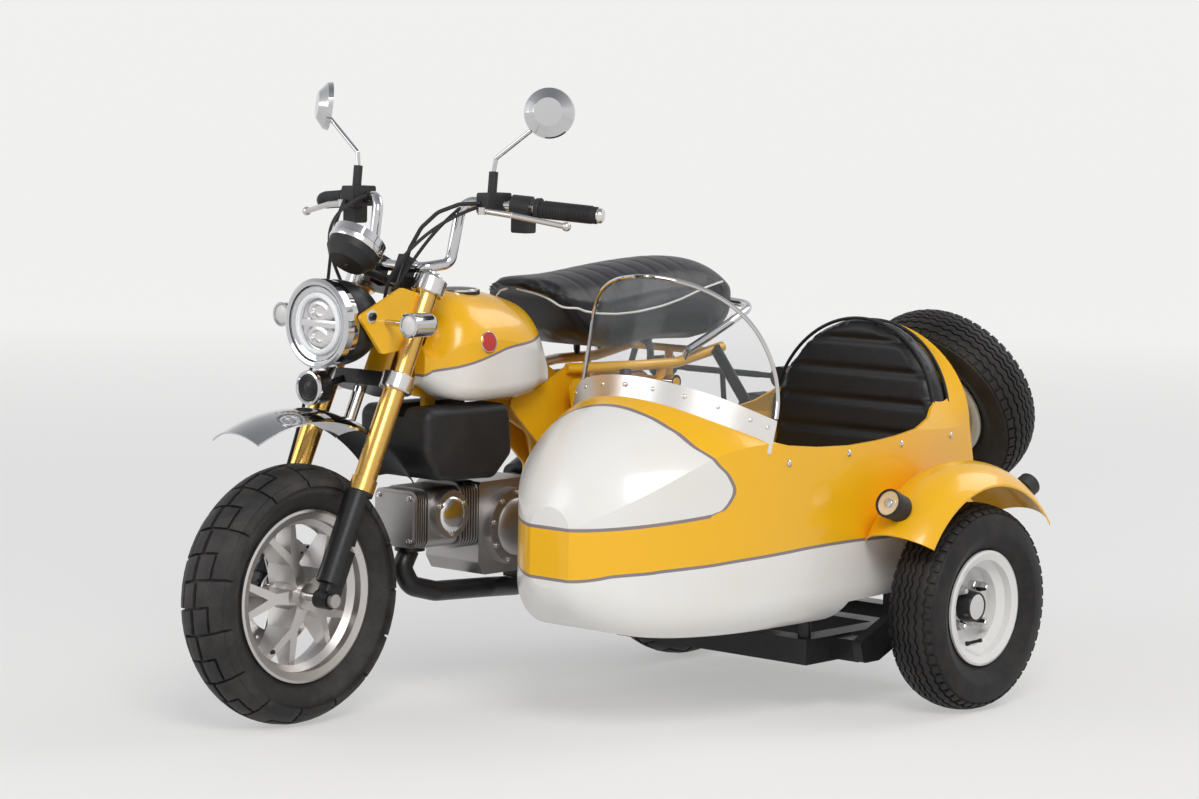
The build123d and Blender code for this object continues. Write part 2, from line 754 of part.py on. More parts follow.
with BuildPart() as frame_part:
    with BuildSketch(fork_plane(neck_low, ahead=-axle_offset)):
        Circle(head_tube_radius)
    extrude(amount=neck_high - neck_low)
    add(tube(spine, 21, 60))
    add(plate([(893, 690), (842, 720), (800, 600), (856, 610)], -16, 16))
    for s in both:
        add(plate(side_plate, 42 * s, 48 * s, corner=12))
        add(tube([(x, y * s, z) for x, y, z in rail], 11, 80))
    for x, z in ((556, 566), (430, 560), (420, 480)):
        add(bar((x, -45, z), (x, 45, z), 14))
    add(bar((shock_top[0], -shock_top[1] - 14, shock_top[2]), (shock_top[0], shock_top[1] + 14, shock_top[2]), 9))
    for s in both:
        add(bar((shock_top[0], 95 * s, shock_top[2]), (shock_top[0], 108 * s, 640), 9))
    add(bar((430, -48, 330), (430, 48, 330), 17))
    add(bar((760, running_gap - tunnel_half, 655), (760, tunnel_half - running_gap, 655), 10))
    add(plate([(776, 648), (806, 660), (806, hanger_foot(806)), (776, hanger_foot(776))], -6, 6))
    add(bar((guard_stay_x, -112, 660), (guard_stay_x, 112, 660), 8))
    add(bar((guard_stay_x, 0, 660), (guard_stay_x, 0, guard_stay_foot), guard_stay_radius))
    with BuildSketch(fork_plane(neck_low, ahead=-axle_offset)):
        Circle(head_bore_radius)
    extrude(amount=neck_high - neck_low, mode=Mode.SUBTRACT)
    with Locations(Plane(origin=pivot, z_dir=(0, 1, 0))):
        Cylinder(8 + running_gap, 200, mode=Mode.SUBTRACT)
frame = joined("frame", frame_part.part)

with BuildPart() as swing_part:
    for s in both:
        add(tube([(430, 63 * s, 330), (330, 68 * s, 312), (130, 104 * s, 276), (20, 106 * s, 258)], 13, 60))
        add(disc((430, 63 * s, 330), (0, 1, 0), 20, 26))
        add(block((-26, min(98 * s, 112 * s), 238), (34, max(98 * s, 112 * s), 274)))
        add(bar((shock_foot[0], 104 * s, shock_foot[2] - 4), (shock_foot[0], 146 * s, shock_foot[2] - 4), 9))
    add(bar((430, -84, 330), (430, 84, 330), 8))
    add(bar((300, -70, 305), (300, 70, 305), 12))
    with Locations(Plane(origin=rear_axle, z_dir=(0, 1, 0))):
        Cylinder(axle_radius + running_gap, 260, mode=Mode.SUBTRACT)
swingarm = joined("swingarm", swing_part.part)
rear_spindle = joined(
    "rear_axle",
    disc(rear_axle, (0, 1, 0), axle_radius, 244),
    disc((0, 117, rear_tyre_radius), (0, 1, 0), 13, 10),
    disc((0, -117, rear_tyre_radius), (0, 1, 0), 13, 10),
)


def shock(side):
    """A spring and damper between its two eyes."""
    top = Vector(shock_top[0], shock_top[1] * side, shock_top[2])
    foot = Vector(shock_foot[0], shock_foot[1] * side, shock_foot[2] - 4)
    run = top - foot
    length = run.length
    coils = 9
    pitch = (length * 0.62) / coils
    ridge = []
    for i in range(coils):
        base = length * 0.2 + pitch * i
        ridge += [(19, base), (25, base + pitch * 0.3), (25, base + pitch * 0.6), (19, base + pitch * 0.9)]
    with BuildPart() as piece:
        with BuildSketch(Plane.XZ):
            Polygon((0, 12), (16, 12), (16, length * 0.19), *ridge, (19, length * 0.86), (14, length - 12),
                    (0, length - 12), align=None)
        revolve(axis=Axis.Z)
        for level in (0, length):
            with Locations(Plane(origin=(0, 0, level), z_dir=(0, 1, 0))):
                Cylinder(15, 24)
    tilt = math.degrees(math.atan2(run.X, run.Z))
    body = piece.part.rotate(Axis.Y, tilt).moved(Location(tuple(foot)))
    with BuildPart() as result:
        add(body)
        with Locations(Plane(origin=tuple(top), z_dir=(0, 1, 0)), Plane(origin=tuple(foot), z_dir=(0, 1, 0))):
            Cylinder(9 + running_gap, 60, mode=Mode.SUBTRACT)
    return result.part


shocks = joined("shock_absorbers", shock(1), shock(-1))

# Engine
chain_inner = sprocket_radius + 4.5 + 0.6
drive_sprocket = (500.0, 330.0)
drive_radius = 30.0
case_front = 706.0
with BuildPart() as case_part:
    with BuildSketch(Plane.XZ.offset(-62)) as case_sketch:
        Polygon(
            (case_front, 430), (560, 432), (484, 380), (478, 280), (520, 244), (690, 244), (case_front, 270),
            align=None,
        )
        fillet(case_sketch.vertices(), 10)
    extrude(amount=144)
    with BuildSketch(Plane.XZ.offset(-62)):
        with Locations((622, 338)):
            Circle(76)
    extrude(amount=-26)
    with BuildSketch(Plane.XZ.offset(80)):
        with Locations((600, 338)):
            Circle(86)
    extrude(amount=24)
    with BuildSketch(Plane.XZ.offset(-62)):
        with Locations(drive_sprocket):
            Circle(drive_radius - 0.6)
    extrude(amount=-20)
    for s in both:
        add(block((452, min(26 * s, 41.7 * s), 392), (545, max(26 * s, 41.7 * s), 418)))
engine_case = joined("engine_case", case_part.part)

fin_count = 7
cylinder_height = 368.0
with BuildPart() as cylinder_part:
    with BuildSketch(Plane.YZ.offset(case_front)):
        with Locations((0, cylinder_height)):
            RectangleRounded(92, 98, 20)
    extrude(amount=60)
    for i in range(fin_count):
        with BuildSketch(Plane.YZ.offset(case_front + 5 + 7.5 * i)):
            with Locations((0, cylinder_height)):
                RectangleRounded(128, 132, 24)
        extrude(amount=3.5)
    with BuildSketch(Plane.YZ.offset(case_front + 56)):
        with Locations((0, cylinder_height)):
            RectangleRounded(116, 118, 22)
    extrude(amount=84)
    with BuildSketch(Plane.YZ.offset(case_front + 140)):
        with Locations((0, cylinder_height)):
            RectangleRounded(100, 100, 16)
    extrude(amount=34)
    with BuildSketch(Plane.XZ.offset(-56)):
        with Locations((796, cylinder_height + 8)):
            Circle(47)
    extrude(amount=-20)
    for i in range(5):
        with BuildSketch(Plane.YZ.offset(case_front + 144 + 6 * i)):
            with Locations((0, cylinder_height)):
                RectangleRounded(114, 112, 16)
        extrude(amount=2.5)
cylinder = joined("engine_cylinder", cylinder_part.part)

with BuildPart() as airbox_part:
    with BuildSketch(Plane.XZ.offset(-94)) as airbox_sketch:
        Polygon((888, 588), (888, 506), (850, 446), (690, 440), (640, 486), (650, 588), align=None)
        fillet(airbox_sketch.vertices(), 24)
    extrude(amount=188)
    fillet(airbox_part.faces().filter_by(Axis.Y).edges(), 16)
    with BuildSketch(Plane.XZ.offset(-30)):
        Polygon((960, 640), *box_groove, (540, 540), (540, 640), align=None)
    extrude(amount=60, mode=Mode.SUBTRACT)
airbox = joined("airbox", airbox_part.part)

muffler_y = -203.0
pipe = [
    (838, 0, 301), (858, 0, 268), (842, 8, 232), (780, 16, 216), (620, 4, 206), (480, -40, 190),
    (400, -120, 204), (350, -172, 270), (318, muffler_y + 2, 344),
]
exhaust = joined(
    "exhaust",
    tube(pipe, 20, [22, 30, 40, 60, 60, 60, 50]),
    disc((836, 0, cylinder_height - 59 - 4), (0, 0, 1), 30, 8),
    bar((325, muffler_y + 3, 330), (300, muffler_y, 384), 28),
    bar((304, muffler_y, 376), (-70, muffler_y, 556), 42),
    bar((-68, muffler_y, 555), (-92, muffler_y, 567), 26),
    *cut_clear(bar((20, -172, 520), (20, -124, 664), 7), frame),
)

tank_table = (
    # x, half width, bottom, shoulder, crown
    (540, 90, 622, 640, 722),
    (590, 106, 604, 688, 786),
    (650, tank_half_width, 598, 706, 802),
    (710, tank_half_width, 596, 716, 808),
    (760, tank_half_width, 597, 716, 808),
    (790, 106, 600, 712, 797),
    (815, 92, 606, 700, 764),
    (862, 60, 632, 690, 732),
)


def crowned_section(x, centre, half_width, bottom, shoulder, crown, corner):
    """An upright section across the vehicle at x: flat floor, rounded lower corners, walls, arched top."""
    turn = corner * (1 - math.sqrt(0.5))
    with BuildSketch(Plane.YZ.offset(x)) as section:
        with BuildLine():
            Line((centre - half_width + corner, bottom), (centre + half_width - corner, bottom))
            ThreePointArc(
                (centre + half_width - corner, bottom),
                (centre + half_width - turn, bottom + turn),
                (centre + half_width, bottom + corner),
            )
            Line((centre + half_width, bottom + corner), (centre + half_width, shoulder))
            ThreePointArc(
                (centre + half_width, shoulder), (centre, crown), (centre - half_width, shoulder)
            )
            Line((centre - half_width, shoulder), (centre - half_width, bottom + corner))
            ThreePointArc(
                (centre - half_width, bottom + corner),
                (centre - half_width + turn, bottom + turn),
                (centre - half_width + corner, bottom),
            )
        make_face()
    return section.sketch


def crowned_body(table, centre, corner, inset=0.0):
    """A body lofted through crowned sections, drawn in all round by an inset."""
    with BuildPart() as body:
        for x, half_width, bottom, shoulder, crown in table:
            reach = half_width - inset
            add(crowned_section(x, centre, reach, bottom + inset, shoulder, crown - inset,
                                min(corner - inset, reach * 0.6, (shoulder - bottom) * 0.5)))
        loft()
    return body.part


cap_x = 710.0
cap_seat = 800.0
cap_radius = 44.0
with BuildPart() as tank_part:
    add(crowned_body(tank_table, 0, 30))
    with BuildSketch(Plane.XZ.offset(-tunnel_half)):
        Polygon((940, 560), (940, 780), (850, 745), (700, 668), (600, 625), (520, 600), (520, 560), align=None)
    extrude(amount=2 * tunnel_half, mode=Mode.SUBTRACT)
    with Locations((cap_x, 0, cap_seat + 20)):
        Cylinder(cap_radius + running_gap, 40, mode=Mode.SUBTRACT)
tank = joined("fuel_tank", tank_part.part)
tank_cap = joined(
    "tank_cap",
    disc((cap_x, 0, cap_seat + 2.5), (0, 0, 1), cap_radius, 5),
    disc((cap_x, 0, cap_seat + 6), (0, 0, 1), cap_radius - 10, 6),
)

seat_table = (
    (592, 62, 782, 796, 812),
    (540, 96, 786, 800, 824),
    (430, 126, 700, 780, 828),
    (280, seat_half_width, 690, 795, 843),
    (130, 126, 694, 800, 853),
    (20, 116, 706, 800, 846),
    (-36, 88, 740, 780, 815),
)
with BuildPart() as seat_part:
    add(crowned_body(seat_table, 0, 26))
    with BuildSketch(Plane.XZ.offset(-160)):
        Polygon((640, 830), (640, 700), (520, 700), (440, 700), (520, 796), (560, 815), align=None)
    extrude(amount=320, mode=Mode.SUBTRACT)
    add(tank_part.part, mode=Mode.SUBTRACT)
seat = joined("seat", seat_part.part, *[cut_clear(bar((240, 98 * s, 700), (240, 98 * s, 644), 9), frame)[-1] for s in both])

cover_outline = [(466, 622), (222, 624), (234, 550), (300, 484), (430, 452)]
side_covers = joined(
    "side_covers",
    *[plate(cover_outline, 76 * s, 84 * s, corner=22) for s in both],
    *[bar((380, 48 * s, 560), (380, 76 * s, 560), 9) for s in both],
)

rear_mudguard = joined("rear_mudguard", mudguard(rear_axle, rear_guard_radius, 74, 20, 3, 48, 158))

lamp_x = -262.0
plate_holes = 140.0
plate_hole_radius = 3.5
plate_face = -288.0
with BuildPart() as plate_holder:
    add(block((plate_face, -84, 396), (plate_face + 4, 84, 440)))
    with BuildSketch(Plane.YZ.offset(plate_face)):
        with Locations((plate_holes / 2, 418), (-plate_holes / 2, 418)):
            Circle(plate_hole_radius)
    extrude(amount=4, mode=Mode.SUBTRACT)
rear_lamps = joined(
    "rear_lamps",
    cut_clear(bar((-204, 0, 460), (lamp_x + 30, 0, 500), 26), rear_mudguard)[-1],
    plate([(-236, 470), (-262, 474), (-284, 440), (-284, 396), (-276, 396), (-262, 430)], -14, 14),
    bar((-120, -101, 600), (-120, 101, 600), 7),
    cut_clear(bar((-120, 0, 600), (-130, 0, 512), 6), rear_mudguard)[-1],
    plate_holder.part,
    disc((lamp_x + 14, 0, 505), (1, 0, 0), 42, 44),
    *[bar((-120, 100 * s, 600), (-120, 156 * s, 600), 6) for s in both],
    *[disc((-124, 173 * s - 2 * s, 600), (1, 0, 0), 23, 48) for s in both],
)

grab_rail = joined(
    "grab_rail",
    tube(
        [(150, 128, 668), (20, 132, 720), (-74, 118, 752), (-92, 0, 758), (-74, -118, 752), (20, -132, 720),
         (150, -128, 668)],
        9, [60, 50, 60, 60, 50][:5],
    ),
    *cut_clear(bar((150, 127, 668), (150, 117, 650), 7), frame),
    *cut_clear(bar((150, -127, 668), (150, -117, 650), 7), frame),
)

peg_x = 470.0
footpegs = joined(
    "footpegs",
    bar((peg_x, -190, 224), (peg_x, 160, 224), 9),
    bar((peg_x, -250, 224), (peg_x, -150, 224), 14),
    bar((peg_x, 110, 224), (peg_x, 176, 224), 14),
    block((455, -20, 219), (545, 20, 244)),
)



def belt_outline(grow):
    """A sketch of the two sprockets' circles and the runs between them."""
    far = rear_tyre_radius
    angle = math.atan2(drive_sprocket[1] - far, drive_sprocket[0])
    spread = math.hypot(drive_sprocket[0], drive_sprocket[1] - far)
    lean = math.asin((chain_inner - drive_radius) / spread)
    points = []
    for radius, cx, cz, sign in (
        (chain_inner + grow, 0, far, 1),
        (drive_radius + grow, *drive_sprocket, 1),
        (drive_radius + grow, *drive_sprocket, -1),
        (chain_inner + grow, 0, far, -1),
    ):
        turn = angle + sign * (math.pi / 2 - lean)
        points.append((cx + radius * math.cos(turn), cz + radius * math.sin(turn)))
    return points


with BuildPart() as chain_part:
    with BuildSketch(Plane.XZ.offset(-sprocket_y)):
        Polygon(*belt_outline(10), align=None)
        with Locations((0, rear_tyre_radius)):
            Circle(chain_inner + 10)
        with Locations(drive_sprocket):
            Circle(drive_radius + 10)
        Polygon(*belt_outline(0), align=None, mode=Mode.SUBTRACT)
        with Locations((0, rear_tyre_radius)):
            Circle(chain_inner, mode=Mode.SUBTRACT)
        with Locations(drive_sprocket):
            Circle(drive_radius, mode=Mode.SUBTRACT)
    extrude(amount=5, both=True)
chain = joined("drive_chain", chain_part.part)

# Sidecar: hull

nose_start = 480.0
nose_length = 448.0


def nose_half(x):
    return 255.0 * math.sqrt(1 - ((x - nose_start) / nose_length) ** 2)


hull_base = 186.0
hull_table = (
    # x, half width, bottom, shoulder, crown
    (-270, 176, hull_base, 520, 690),
    (-80, 214, hull_base, 540, 738),
    (120, 246, hull_base, 548, 715),
    (320, 255, hull_base, 552, 690),
    (480, 255, hull_base, 552, 656),
    (600, nose_half(600), hull_base, 552, 652),
    (690, nose_half(690), 187, 538, 641),
    (760, nose_half(760), 190, 508, 612),
    (820, nose_half(820), 198, 474, 574),
    (868, nose_half(868), 216, 444, 528),
    (900, nose_half(900), 244, 420, 480),
    (920, nose_half(920), 286, 402, 438),
)
tail_curve = [(-80, 760), (-125, 520), (-236, 220)]
underside = [(352, 100), (352, hull_base), (326, 226), (-330, 240), (-330, 100)]


def tail_space(shift):
    """Everything behind the tail panel, moved forward by a shift."""
    top, middle, foot = [(x + shift, z) for x, z in tail_curve]
    with BuildPart() as space:
        with BuildSketch(Plane.XZ.offset(-hull_centre - 400)):
            with BuildLine():
                ThreePointArc(top, middle, foot)
                Polyline(foot, (foot[0] - 40, 100), (-500, 100), (-500, 900), (top[0] + 30, 900), top)
            make_face()
        extrude(amount=800)
    return space.part


def side_slab(outline):
    """A slab across the whole sidecar, from an outline of (x, z) points."""
    return plate(outline, hull_centre - 400, hull_centre + 400)


outer_hull = crowned_body(hull_table, hull_centre, 70)
with BuildPart() as outer_shape:
    add(outer_hull)
    add(tail_space(0), mode=Mode.SUBTRACT)
    add(side_slab(underside), mode=Mode.SUBTRACT)
inner_table = list(hull_table)
inner_table[-1] = (hull_table[-1][0] - hull_wall, *hull_table[-1][1:])
with BuildPart() as inner_shape:
    add(crowned_body(inner_table, hull_centre, 70, inset=hull_wall))
    add(tail_space(hull_wall), mode=Mode.SUBTRACT)
    add(side_slab([(x, z + hull_wall) if z > 150 else (x, z) for x, z in underside]), mode=Mode.SUBTRACT)

screen_front = (715.5, 633.5)
screen_lean = 0.284
screen_radius = 266.0
screen_turn = math.radians(53.6)
screen_half_width = 249.0
band_height = 40.0
deck_fall = 0.539
screen_thick = 3.0
band_thick = 3.0
screen_run = math.hypot(1, screen_lean)
screen_plane = Plane(
    origin=(screen_front[0], hull_centre, screen_front[1]), x_dir=(0, 1, 0),
    z_dir=(-screen_lean, 0, 1),
)


def screen_prism(grow):
    """The solid inside the windscreen's sheet: a rolled front between two flat sides, carried on past both
    ends. The sheet leans back."""
    radius = screen_radius + grow
    side = radius * math.sin(screen_turn)
    depth = -screen_radius + radius * math.cos(screen_turn)
    reach = screen_half_width + grow - side
    rear = depth - reach * math.tan(screen_turn)
    with BuildPart() as prism:
        with BuildSketch(screen_plane):
            with BuildLine():
                ThreePointArc((-side, -depth), (0, -grow), (side, -depth))
                Polyline((side, -depth), (side + reach, -rear), (-side - reach, -rear), (-side, -depth))
            make_face()
        extrude(amount=460, both=True)
    return prism.part


screen_end_depth = (
    screen_radius * (1 - math.cos(screen_turn))
    + (screen_half_width - screen_radius * math.sin(screen_turn)) * math.tan(screen_turn)
)
screen_foot_x = screen_front[0] - screen_end_depth * screen_run / (1 + screen_lean * deck_fall)


sill = [
    (screen_foot_x, 1000), (screen_foot_x, 556), (530, 546), (440, 537), (343, 533), (250, 536), (182, 541),
    (110, 549), (46, 564), (2, 588), (-24, 618), (-44, 660), (-76, 706), (-76, 1000),
]
back_plane = Plane(origin=(18, hull_centre, 376), x_dir=(0, 1, 0), z_dir=(0.9945, 0, 0.105))
back_thick = 54.0
back_half_width = 206.0


def back_prism(grow, front):
    """The seat back's block: straight sides and an arched top. It can be grown all round and forward."""
    side = back_half_width + grow
    with BuildPart() as prism:
        with BuildSketch(back_plane.offset(front)):
            with BuildLine():
                Polyline((6 - side, -grow), (-side, 180))
                ThreePointArc((-side, 180), (0, 374 + grow), (side, 180))
                Polyline((side, 180), (side - 6, -grow), (6 - side, -grow))
            make_face()
        extrude(amount=-(front + back_thick + grow))
    return prism.part


with BuildPart() as shell_upper:
    add(outer_shape.part)
    add(inner_shape.part, mode=Mode.SUBTRACT)
    add(side_slab([(-600, 0), (1200, 0), (1200, hull_seam_height), (-600, hull_seam_height)]), mode=Mode.SUBTRACT)
    with BuildPart(mode=Mode.PRIVATE) as sill_cut:
        add(side_slab(sill))
    add(sill_cut.part, mode=Mode.SUBTRACT)
    add(back_prism(0.5, 90), mode=Mode.SUBTRACT)
    add(
        screen_prism(-screen_thick - 1).intersect(
            side_slab([(screen_foot_x - 1, 460), (screen_foot_x - 1, 1000), (1000, 1000), (1000, 460)])
        ),
        mode=Mode.SUBTRACT,
    )
hull_upper = joined("hull_upper", shell_upper.part)

with BuildPart() as shell_lower:
    add(outer_shape.part)
    add(inner_shape.part, mode=Mode.SUBTRACT)
    add(side_slab([(-600, 1200), (1200, 1200), (1200, hull_seam_height), (-600, hull_seam_height)]), mode=Mode.SUBTRACT)
    with BuildPart(mode=Mode.PRIVATE) as seat_box:
        add(block((10, hull_centre - 190, 200), (420, hull_centre + 190, 286)))
        add(block((16, hull_centre - 184, 100), (414, hull_centre + 184, 280)), mode=Mode.SUBTRACT)
        add(outer_shape.part, mode=Mode.INTERSECT)
    add(seat_box.part)
hull_lower = joined("hull_lower", shell_lower.part)



def deck_height(x, above=0.0):
    """The height of the windscreen's foot line at x, or of a line above it."""
    return screen_front[1] - deck_fall * (screen_front[0] - x) + above


low_x, high_x = screen_foot_x - 40, 900.0
band_high = band_height * screen_run
with BuildPart() as band_part:
    add(screen_prism(band_thick))
    add(screen_prism(0), mode=Mode.SUBTRACT)
    add(side_slab([
        (low_x, deck_height(low_x, band_high)), (high_x, deck_height(high_x, band_high)),
        (high_x, deck_height(high_x, -90)), (low_x, deck_height(low_x, -20)),
    ]), mode=Mode.INTERSECT)
    add(outer_shape.part, mode=Mode.SUBTRACT)
windscreen_band = joined("windscreen_band", band_part.part.solids().sort_by(SortBy.VOLUME)[-1])
arch_foot = (screen_foot_x - 0.284 * band_height, deck_height(screen_foot_x, band_height))
arch_top = (652.0, 858.0)
with BuildPart() as screen_part:
    add(screen_prism(0))
    add(screen_prism(-screen_thick), mode=Mode.SUBTRACT)
    with BuildPart(mode=Mode.PRIVATE) as side_view:
        with BuildSketch(Plane.XZ.offset(-hull_centre - 400)):
            with BuildLine():
                ThreePointArc(arch_foot, (585, 780), arch_top)
                Polyline(
                    arch_top, (1000, 858), (high_x, deck_height(high_x, 10)), (arch_foot[0], deck_height(arch_foot[0], 10)),
                    arch_foot,
                )
            make_face()
        extrude(amount=800)
    add(side_view.part, mode=Mode.INTERSECT)
    add(outer_shape.part, mode=Mode.SUBTRACT)
windscreen = joined("windscreen", screen_part.part.solids().sort_by(SortBy.VOLUME)[-1])

cushion = joined("sidecar_cushion", block((14, hull_centre - 196, 286.3), (430, hull_centre + 196, 372), corner=40))
backrest = joined("sidecar_backrest", back_prism(0, 0))

# Sidecar: mudguard, chassis and wheel carrier
side_guard_half = 82.0
side_guard_inset = 21.1
side_mudguard = joined(
    "sidecar_mudguard",
    mudguard((side_axle[0], side_axle[1] - side_guard_inset, side_axle[2]), 286, side_guard_half, 40, 4, 34, 142),
)
mudguard_lamps = joined(
    "mudguard_lamps",
    cut_clear(disc((306, 783, 420), (0.93, 0, 0.36), 27, 40), side_mudguard)[-1],
    cut_clear(disc((-112, 800, 424), (-0.9, 0, 0.4), 24, 30), side_mudguard)[-1],
)

rail_low = 100.0
rail_high = 150.0
rail_front = 385.0
rail_rear = -150.0
rail_width = 50.0
inner_rail = 225.0
outer_rail = 588.0
underside_fall = (240 - 226) / (326 + 330)
mounts_x = (360.0, 84.0, -110.0)
with BuildPart() as chassis_part:
    for y in (inner_rail, outer_rail):
        add(block((rail_rear, y, rail_low), (rail_front, y + rail_width, rail_high)))
    for x in mounts_x:
        add(block((x - 25, 150, rail_low), (x + 25, outer_rail + 20, rail_high)))
        for y in (inner_rail + 25, outer_rail + 25):
            foot = hull_base if x > 352 else 226 + (326 - x) * underside_fall
            add(bar((x, y, rail_high - 2), (x, y, foot - running_gap), 13))
    add(block((250, outer_rail + 40, rail_low + 4), (300, 700, rail_high - 4)))
side_chassis = joined(
    "sidecar_frame",
    chassis_part.part,
    plate([(312, 146), (300, 104), (250, 104), (84, 172), (58, 205), (84, 236), (110, 226)], 692, 714, corner=9),
    bar((side_axle[0], 700, side_axle[2]), (side_axle[0], side_axle[1] - 4.6, side_axle[2]), 10),
    bar((side_axle[0], 700, side_axle[2]), (side_axle[0], side_axle[1] - 62.6, side_axle[2]), 20),
)
with BuildPart() as strut_part:
    add(bar((360, 162, 125), (490, 12, 230), 12))
    add(bar((84, 162, 125), (468, 12, 230), 12))
    add(tube([(360, 166, 140), (356, 166, 440), (330, 112, 636)], 12, 80))
    add(tube([(-110, 166, 140), (-100, 172, 430), (60, 126, 668)], 12, 80))
    add(side_chassis, mode=Mode.SUBTRACT)
    add(frame, mode=Mode.SUBTRACT)
    add(footpegs, mode=Mode.SUBTRACT)
struts = joined("sidecar_struts", *[solid for solid in strut_part.part.solids() if solid.volume > 20000])

spare_tilt = 27.0
spare_centre = (-322.0, hull_centre, 560.0)


def as_spare(piece):
    return piece.rotate(Axis.Z, 90).rotate(Axis.Y, spare_tilt).moved(Location(spare_centre))


spare_tyre = joined(
    "spare_tyre",
    as_spare(tyre(side_tyre_radius, side_tyre_width, side_bead_radius, side_bead_half_width, 14)),
)
spare_rim = joined("spare_rim", as_spare(pressed_wheel(1)))
lean = math.radians(spare_tilt)
spare_axis = Vector(-math.cos(lean), 0, math.sin(lean))
middle = Vector(*spare_centre)
spare_bracket = joined(
    "spare_bracket",
    disc(tuple(middle - spare_axis * 25), tuple(spare_axis), 66, 8),
    cut_clear(bar(tuple(middle - spare_axis * 24), tuple(middle - spare_axis * 225), 24), outer_shape.part)[-1],
    disc(tuple(middle - spare_axis * -2), tuple(spare_axis), 14, 50),
)

# Every piece, moved so that the origin is on the ground under the middle of the vehicle
pieces = [
    frame, engine_case, cylinder, airbox, tank, tank_cap, seat, side_covers, rear_mudguard, rear_lamps,
    swingarm, shocks, exhaust, grab_rail, footpegs, chain, rear_spindle,
    hull_lower, hull_upper, windscreen_band, windscreen, cushion, backrest, side_mudguard, mudguard_lamps,
    side_chassis, struts, spare_bracket, spare_tyre, spare_rim,
    yokes, fork_tubes, fork_lowers, front_spindle, handlebar, grips, bar_controls, levers, mirrors,
    headlamp_shell, chrome_rings, headlamp_lens, lamp_stays, signals, meter, horn,
    front_mudguard, front_mudguard_tail, caliper, cables,
    front_tyre, front_rim, front_disc, rear_tyre, rear_rim, rear_drive,
    side_tyre, side_rim, side_hub,
]
boxes = [piece.bounding_box() for piece in pieces]
middle_x = (min(box.min.X for box in boxes) + max(box.max.X for box in boxes)) / 2
middle_y = (min(box.min.Y for box in boxes) + max(box.max.Y for box in boxes)) / 2
os.makedirs("parts", exist_ok=True)
for piece in pieces:
    placed = moved(piece, -middle_x, -middle_y, 0)
    placed.label = piece.label
    export_step(placed, "parts/" + piece.label + ".step")
print(len(pieces), "pieces, moved by", -middle_x, -middle_y)
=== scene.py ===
"""Dresses a small motorcycle and sidecar: paint, metal, rubber, vinyl and glass, tyre treads, pads,
seams, lamps and fastenings, on a pale studio floor."""

import math

import bmesh
import bpy
from mathutils import Matrix, Vector


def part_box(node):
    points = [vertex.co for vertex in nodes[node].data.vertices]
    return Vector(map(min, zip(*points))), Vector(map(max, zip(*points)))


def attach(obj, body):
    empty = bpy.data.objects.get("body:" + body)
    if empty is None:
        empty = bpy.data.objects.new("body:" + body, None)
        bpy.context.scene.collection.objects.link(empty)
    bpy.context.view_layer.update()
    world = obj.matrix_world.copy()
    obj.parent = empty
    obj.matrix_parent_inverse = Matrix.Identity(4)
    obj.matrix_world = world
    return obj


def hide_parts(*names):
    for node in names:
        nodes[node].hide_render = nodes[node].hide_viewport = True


bl_info = {
    "name": "Sidecar Motorcycle Dressing",
    "version": (1, 0, 0),
    "blender": (4, 5, 0),
    "location": "View3D > Sidebar > Sidecar",
    "description": "Adds finishes, treads, pads, lamps and small fittings to the packed motorcycle",
    "category": "Object",
}

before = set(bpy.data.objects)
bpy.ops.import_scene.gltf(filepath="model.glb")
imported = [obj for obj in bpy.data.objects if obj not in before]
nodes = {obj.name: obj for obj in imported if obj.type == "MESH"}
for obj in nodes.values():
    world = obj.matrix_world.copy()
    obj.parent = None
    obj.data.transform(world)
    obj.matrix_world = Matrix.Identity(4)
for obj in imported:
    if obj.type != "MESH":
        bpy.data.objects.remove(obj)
wheel_low, wheel_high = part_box("rear_tyre")
origin = (wheel_low + wheel_high) / 2
mm = 0.001


def spot(x, y, z):
    """A point given in mm ahead of, left of and above the ground under the rear axle."""
    return Vector((origin.x + x * mm, origin.y + y * mm, z * mm))


front_axle = spot(1155, 0, 248)
rear_axle = spot(0, 0, 256)
side_axle = spot(84, 803, 205)
spare_tilt = math.radians(27)
spare_centre = spot(-322, 445, 560)
spare_axis = Vector((-math.cos(spare_tilt), 0, math.sin(spare_tilt)))
rake = math.radians(25)
steer_axis = Vector((-math.sin(rake), 0, math.cos(rake)))
hull_middle = 445
ahead, behind, left = (1, 0, 0), (-1, 0, 0), (0, 1, 0)
both = (1, -1)


# Finishes


class Number:
    """A number that changes over a surface. Sums on it add Math nodes."""

    def __init__(self, finish, socket):
        self.finish, self.socket = finish, socket

    def sum(self, operation, *values):
        node = self.finish.add("Math", {"operation": operation}, dict(enumerate(values)))
        return Number(self.finish, node.outputs[0])

    def __add__(self, other):
        return self.sum("ADD", self, other)

    def __radd__(self, other):
        return self.sum("ADD", other, self)

    def __sub__(self, other):
        return self.sum("SUBTRACT", self, other)

    def __rsub__(self, other):
        return self.sum("SUBTRACT", other, self)

    def __mul__(self, other):
        return self.sum("MULTIPLY", self, other)

    def __rmul__(self, other):
        return self.sum("MULTIPLY", other, self)

    def __truediv__(self, other):
        return self.sum("DIVIDE", self, other)

    def __gt__(self, other):
        return self.sum("GREATER_THAN", self, other)

    def __lt__(self, other):
        return self.sum("LESS_THAN", self, other)

    def __abs__(self):
        return self.sum("ABSOLUTE", self)

    def least(self, other):
        return self.sum("MINIMUM", self, other)

    def most(self, other):
        return self.sum("MAXIMUM", self, other)

    def root(self):
        return self.sum("SQRT", self)


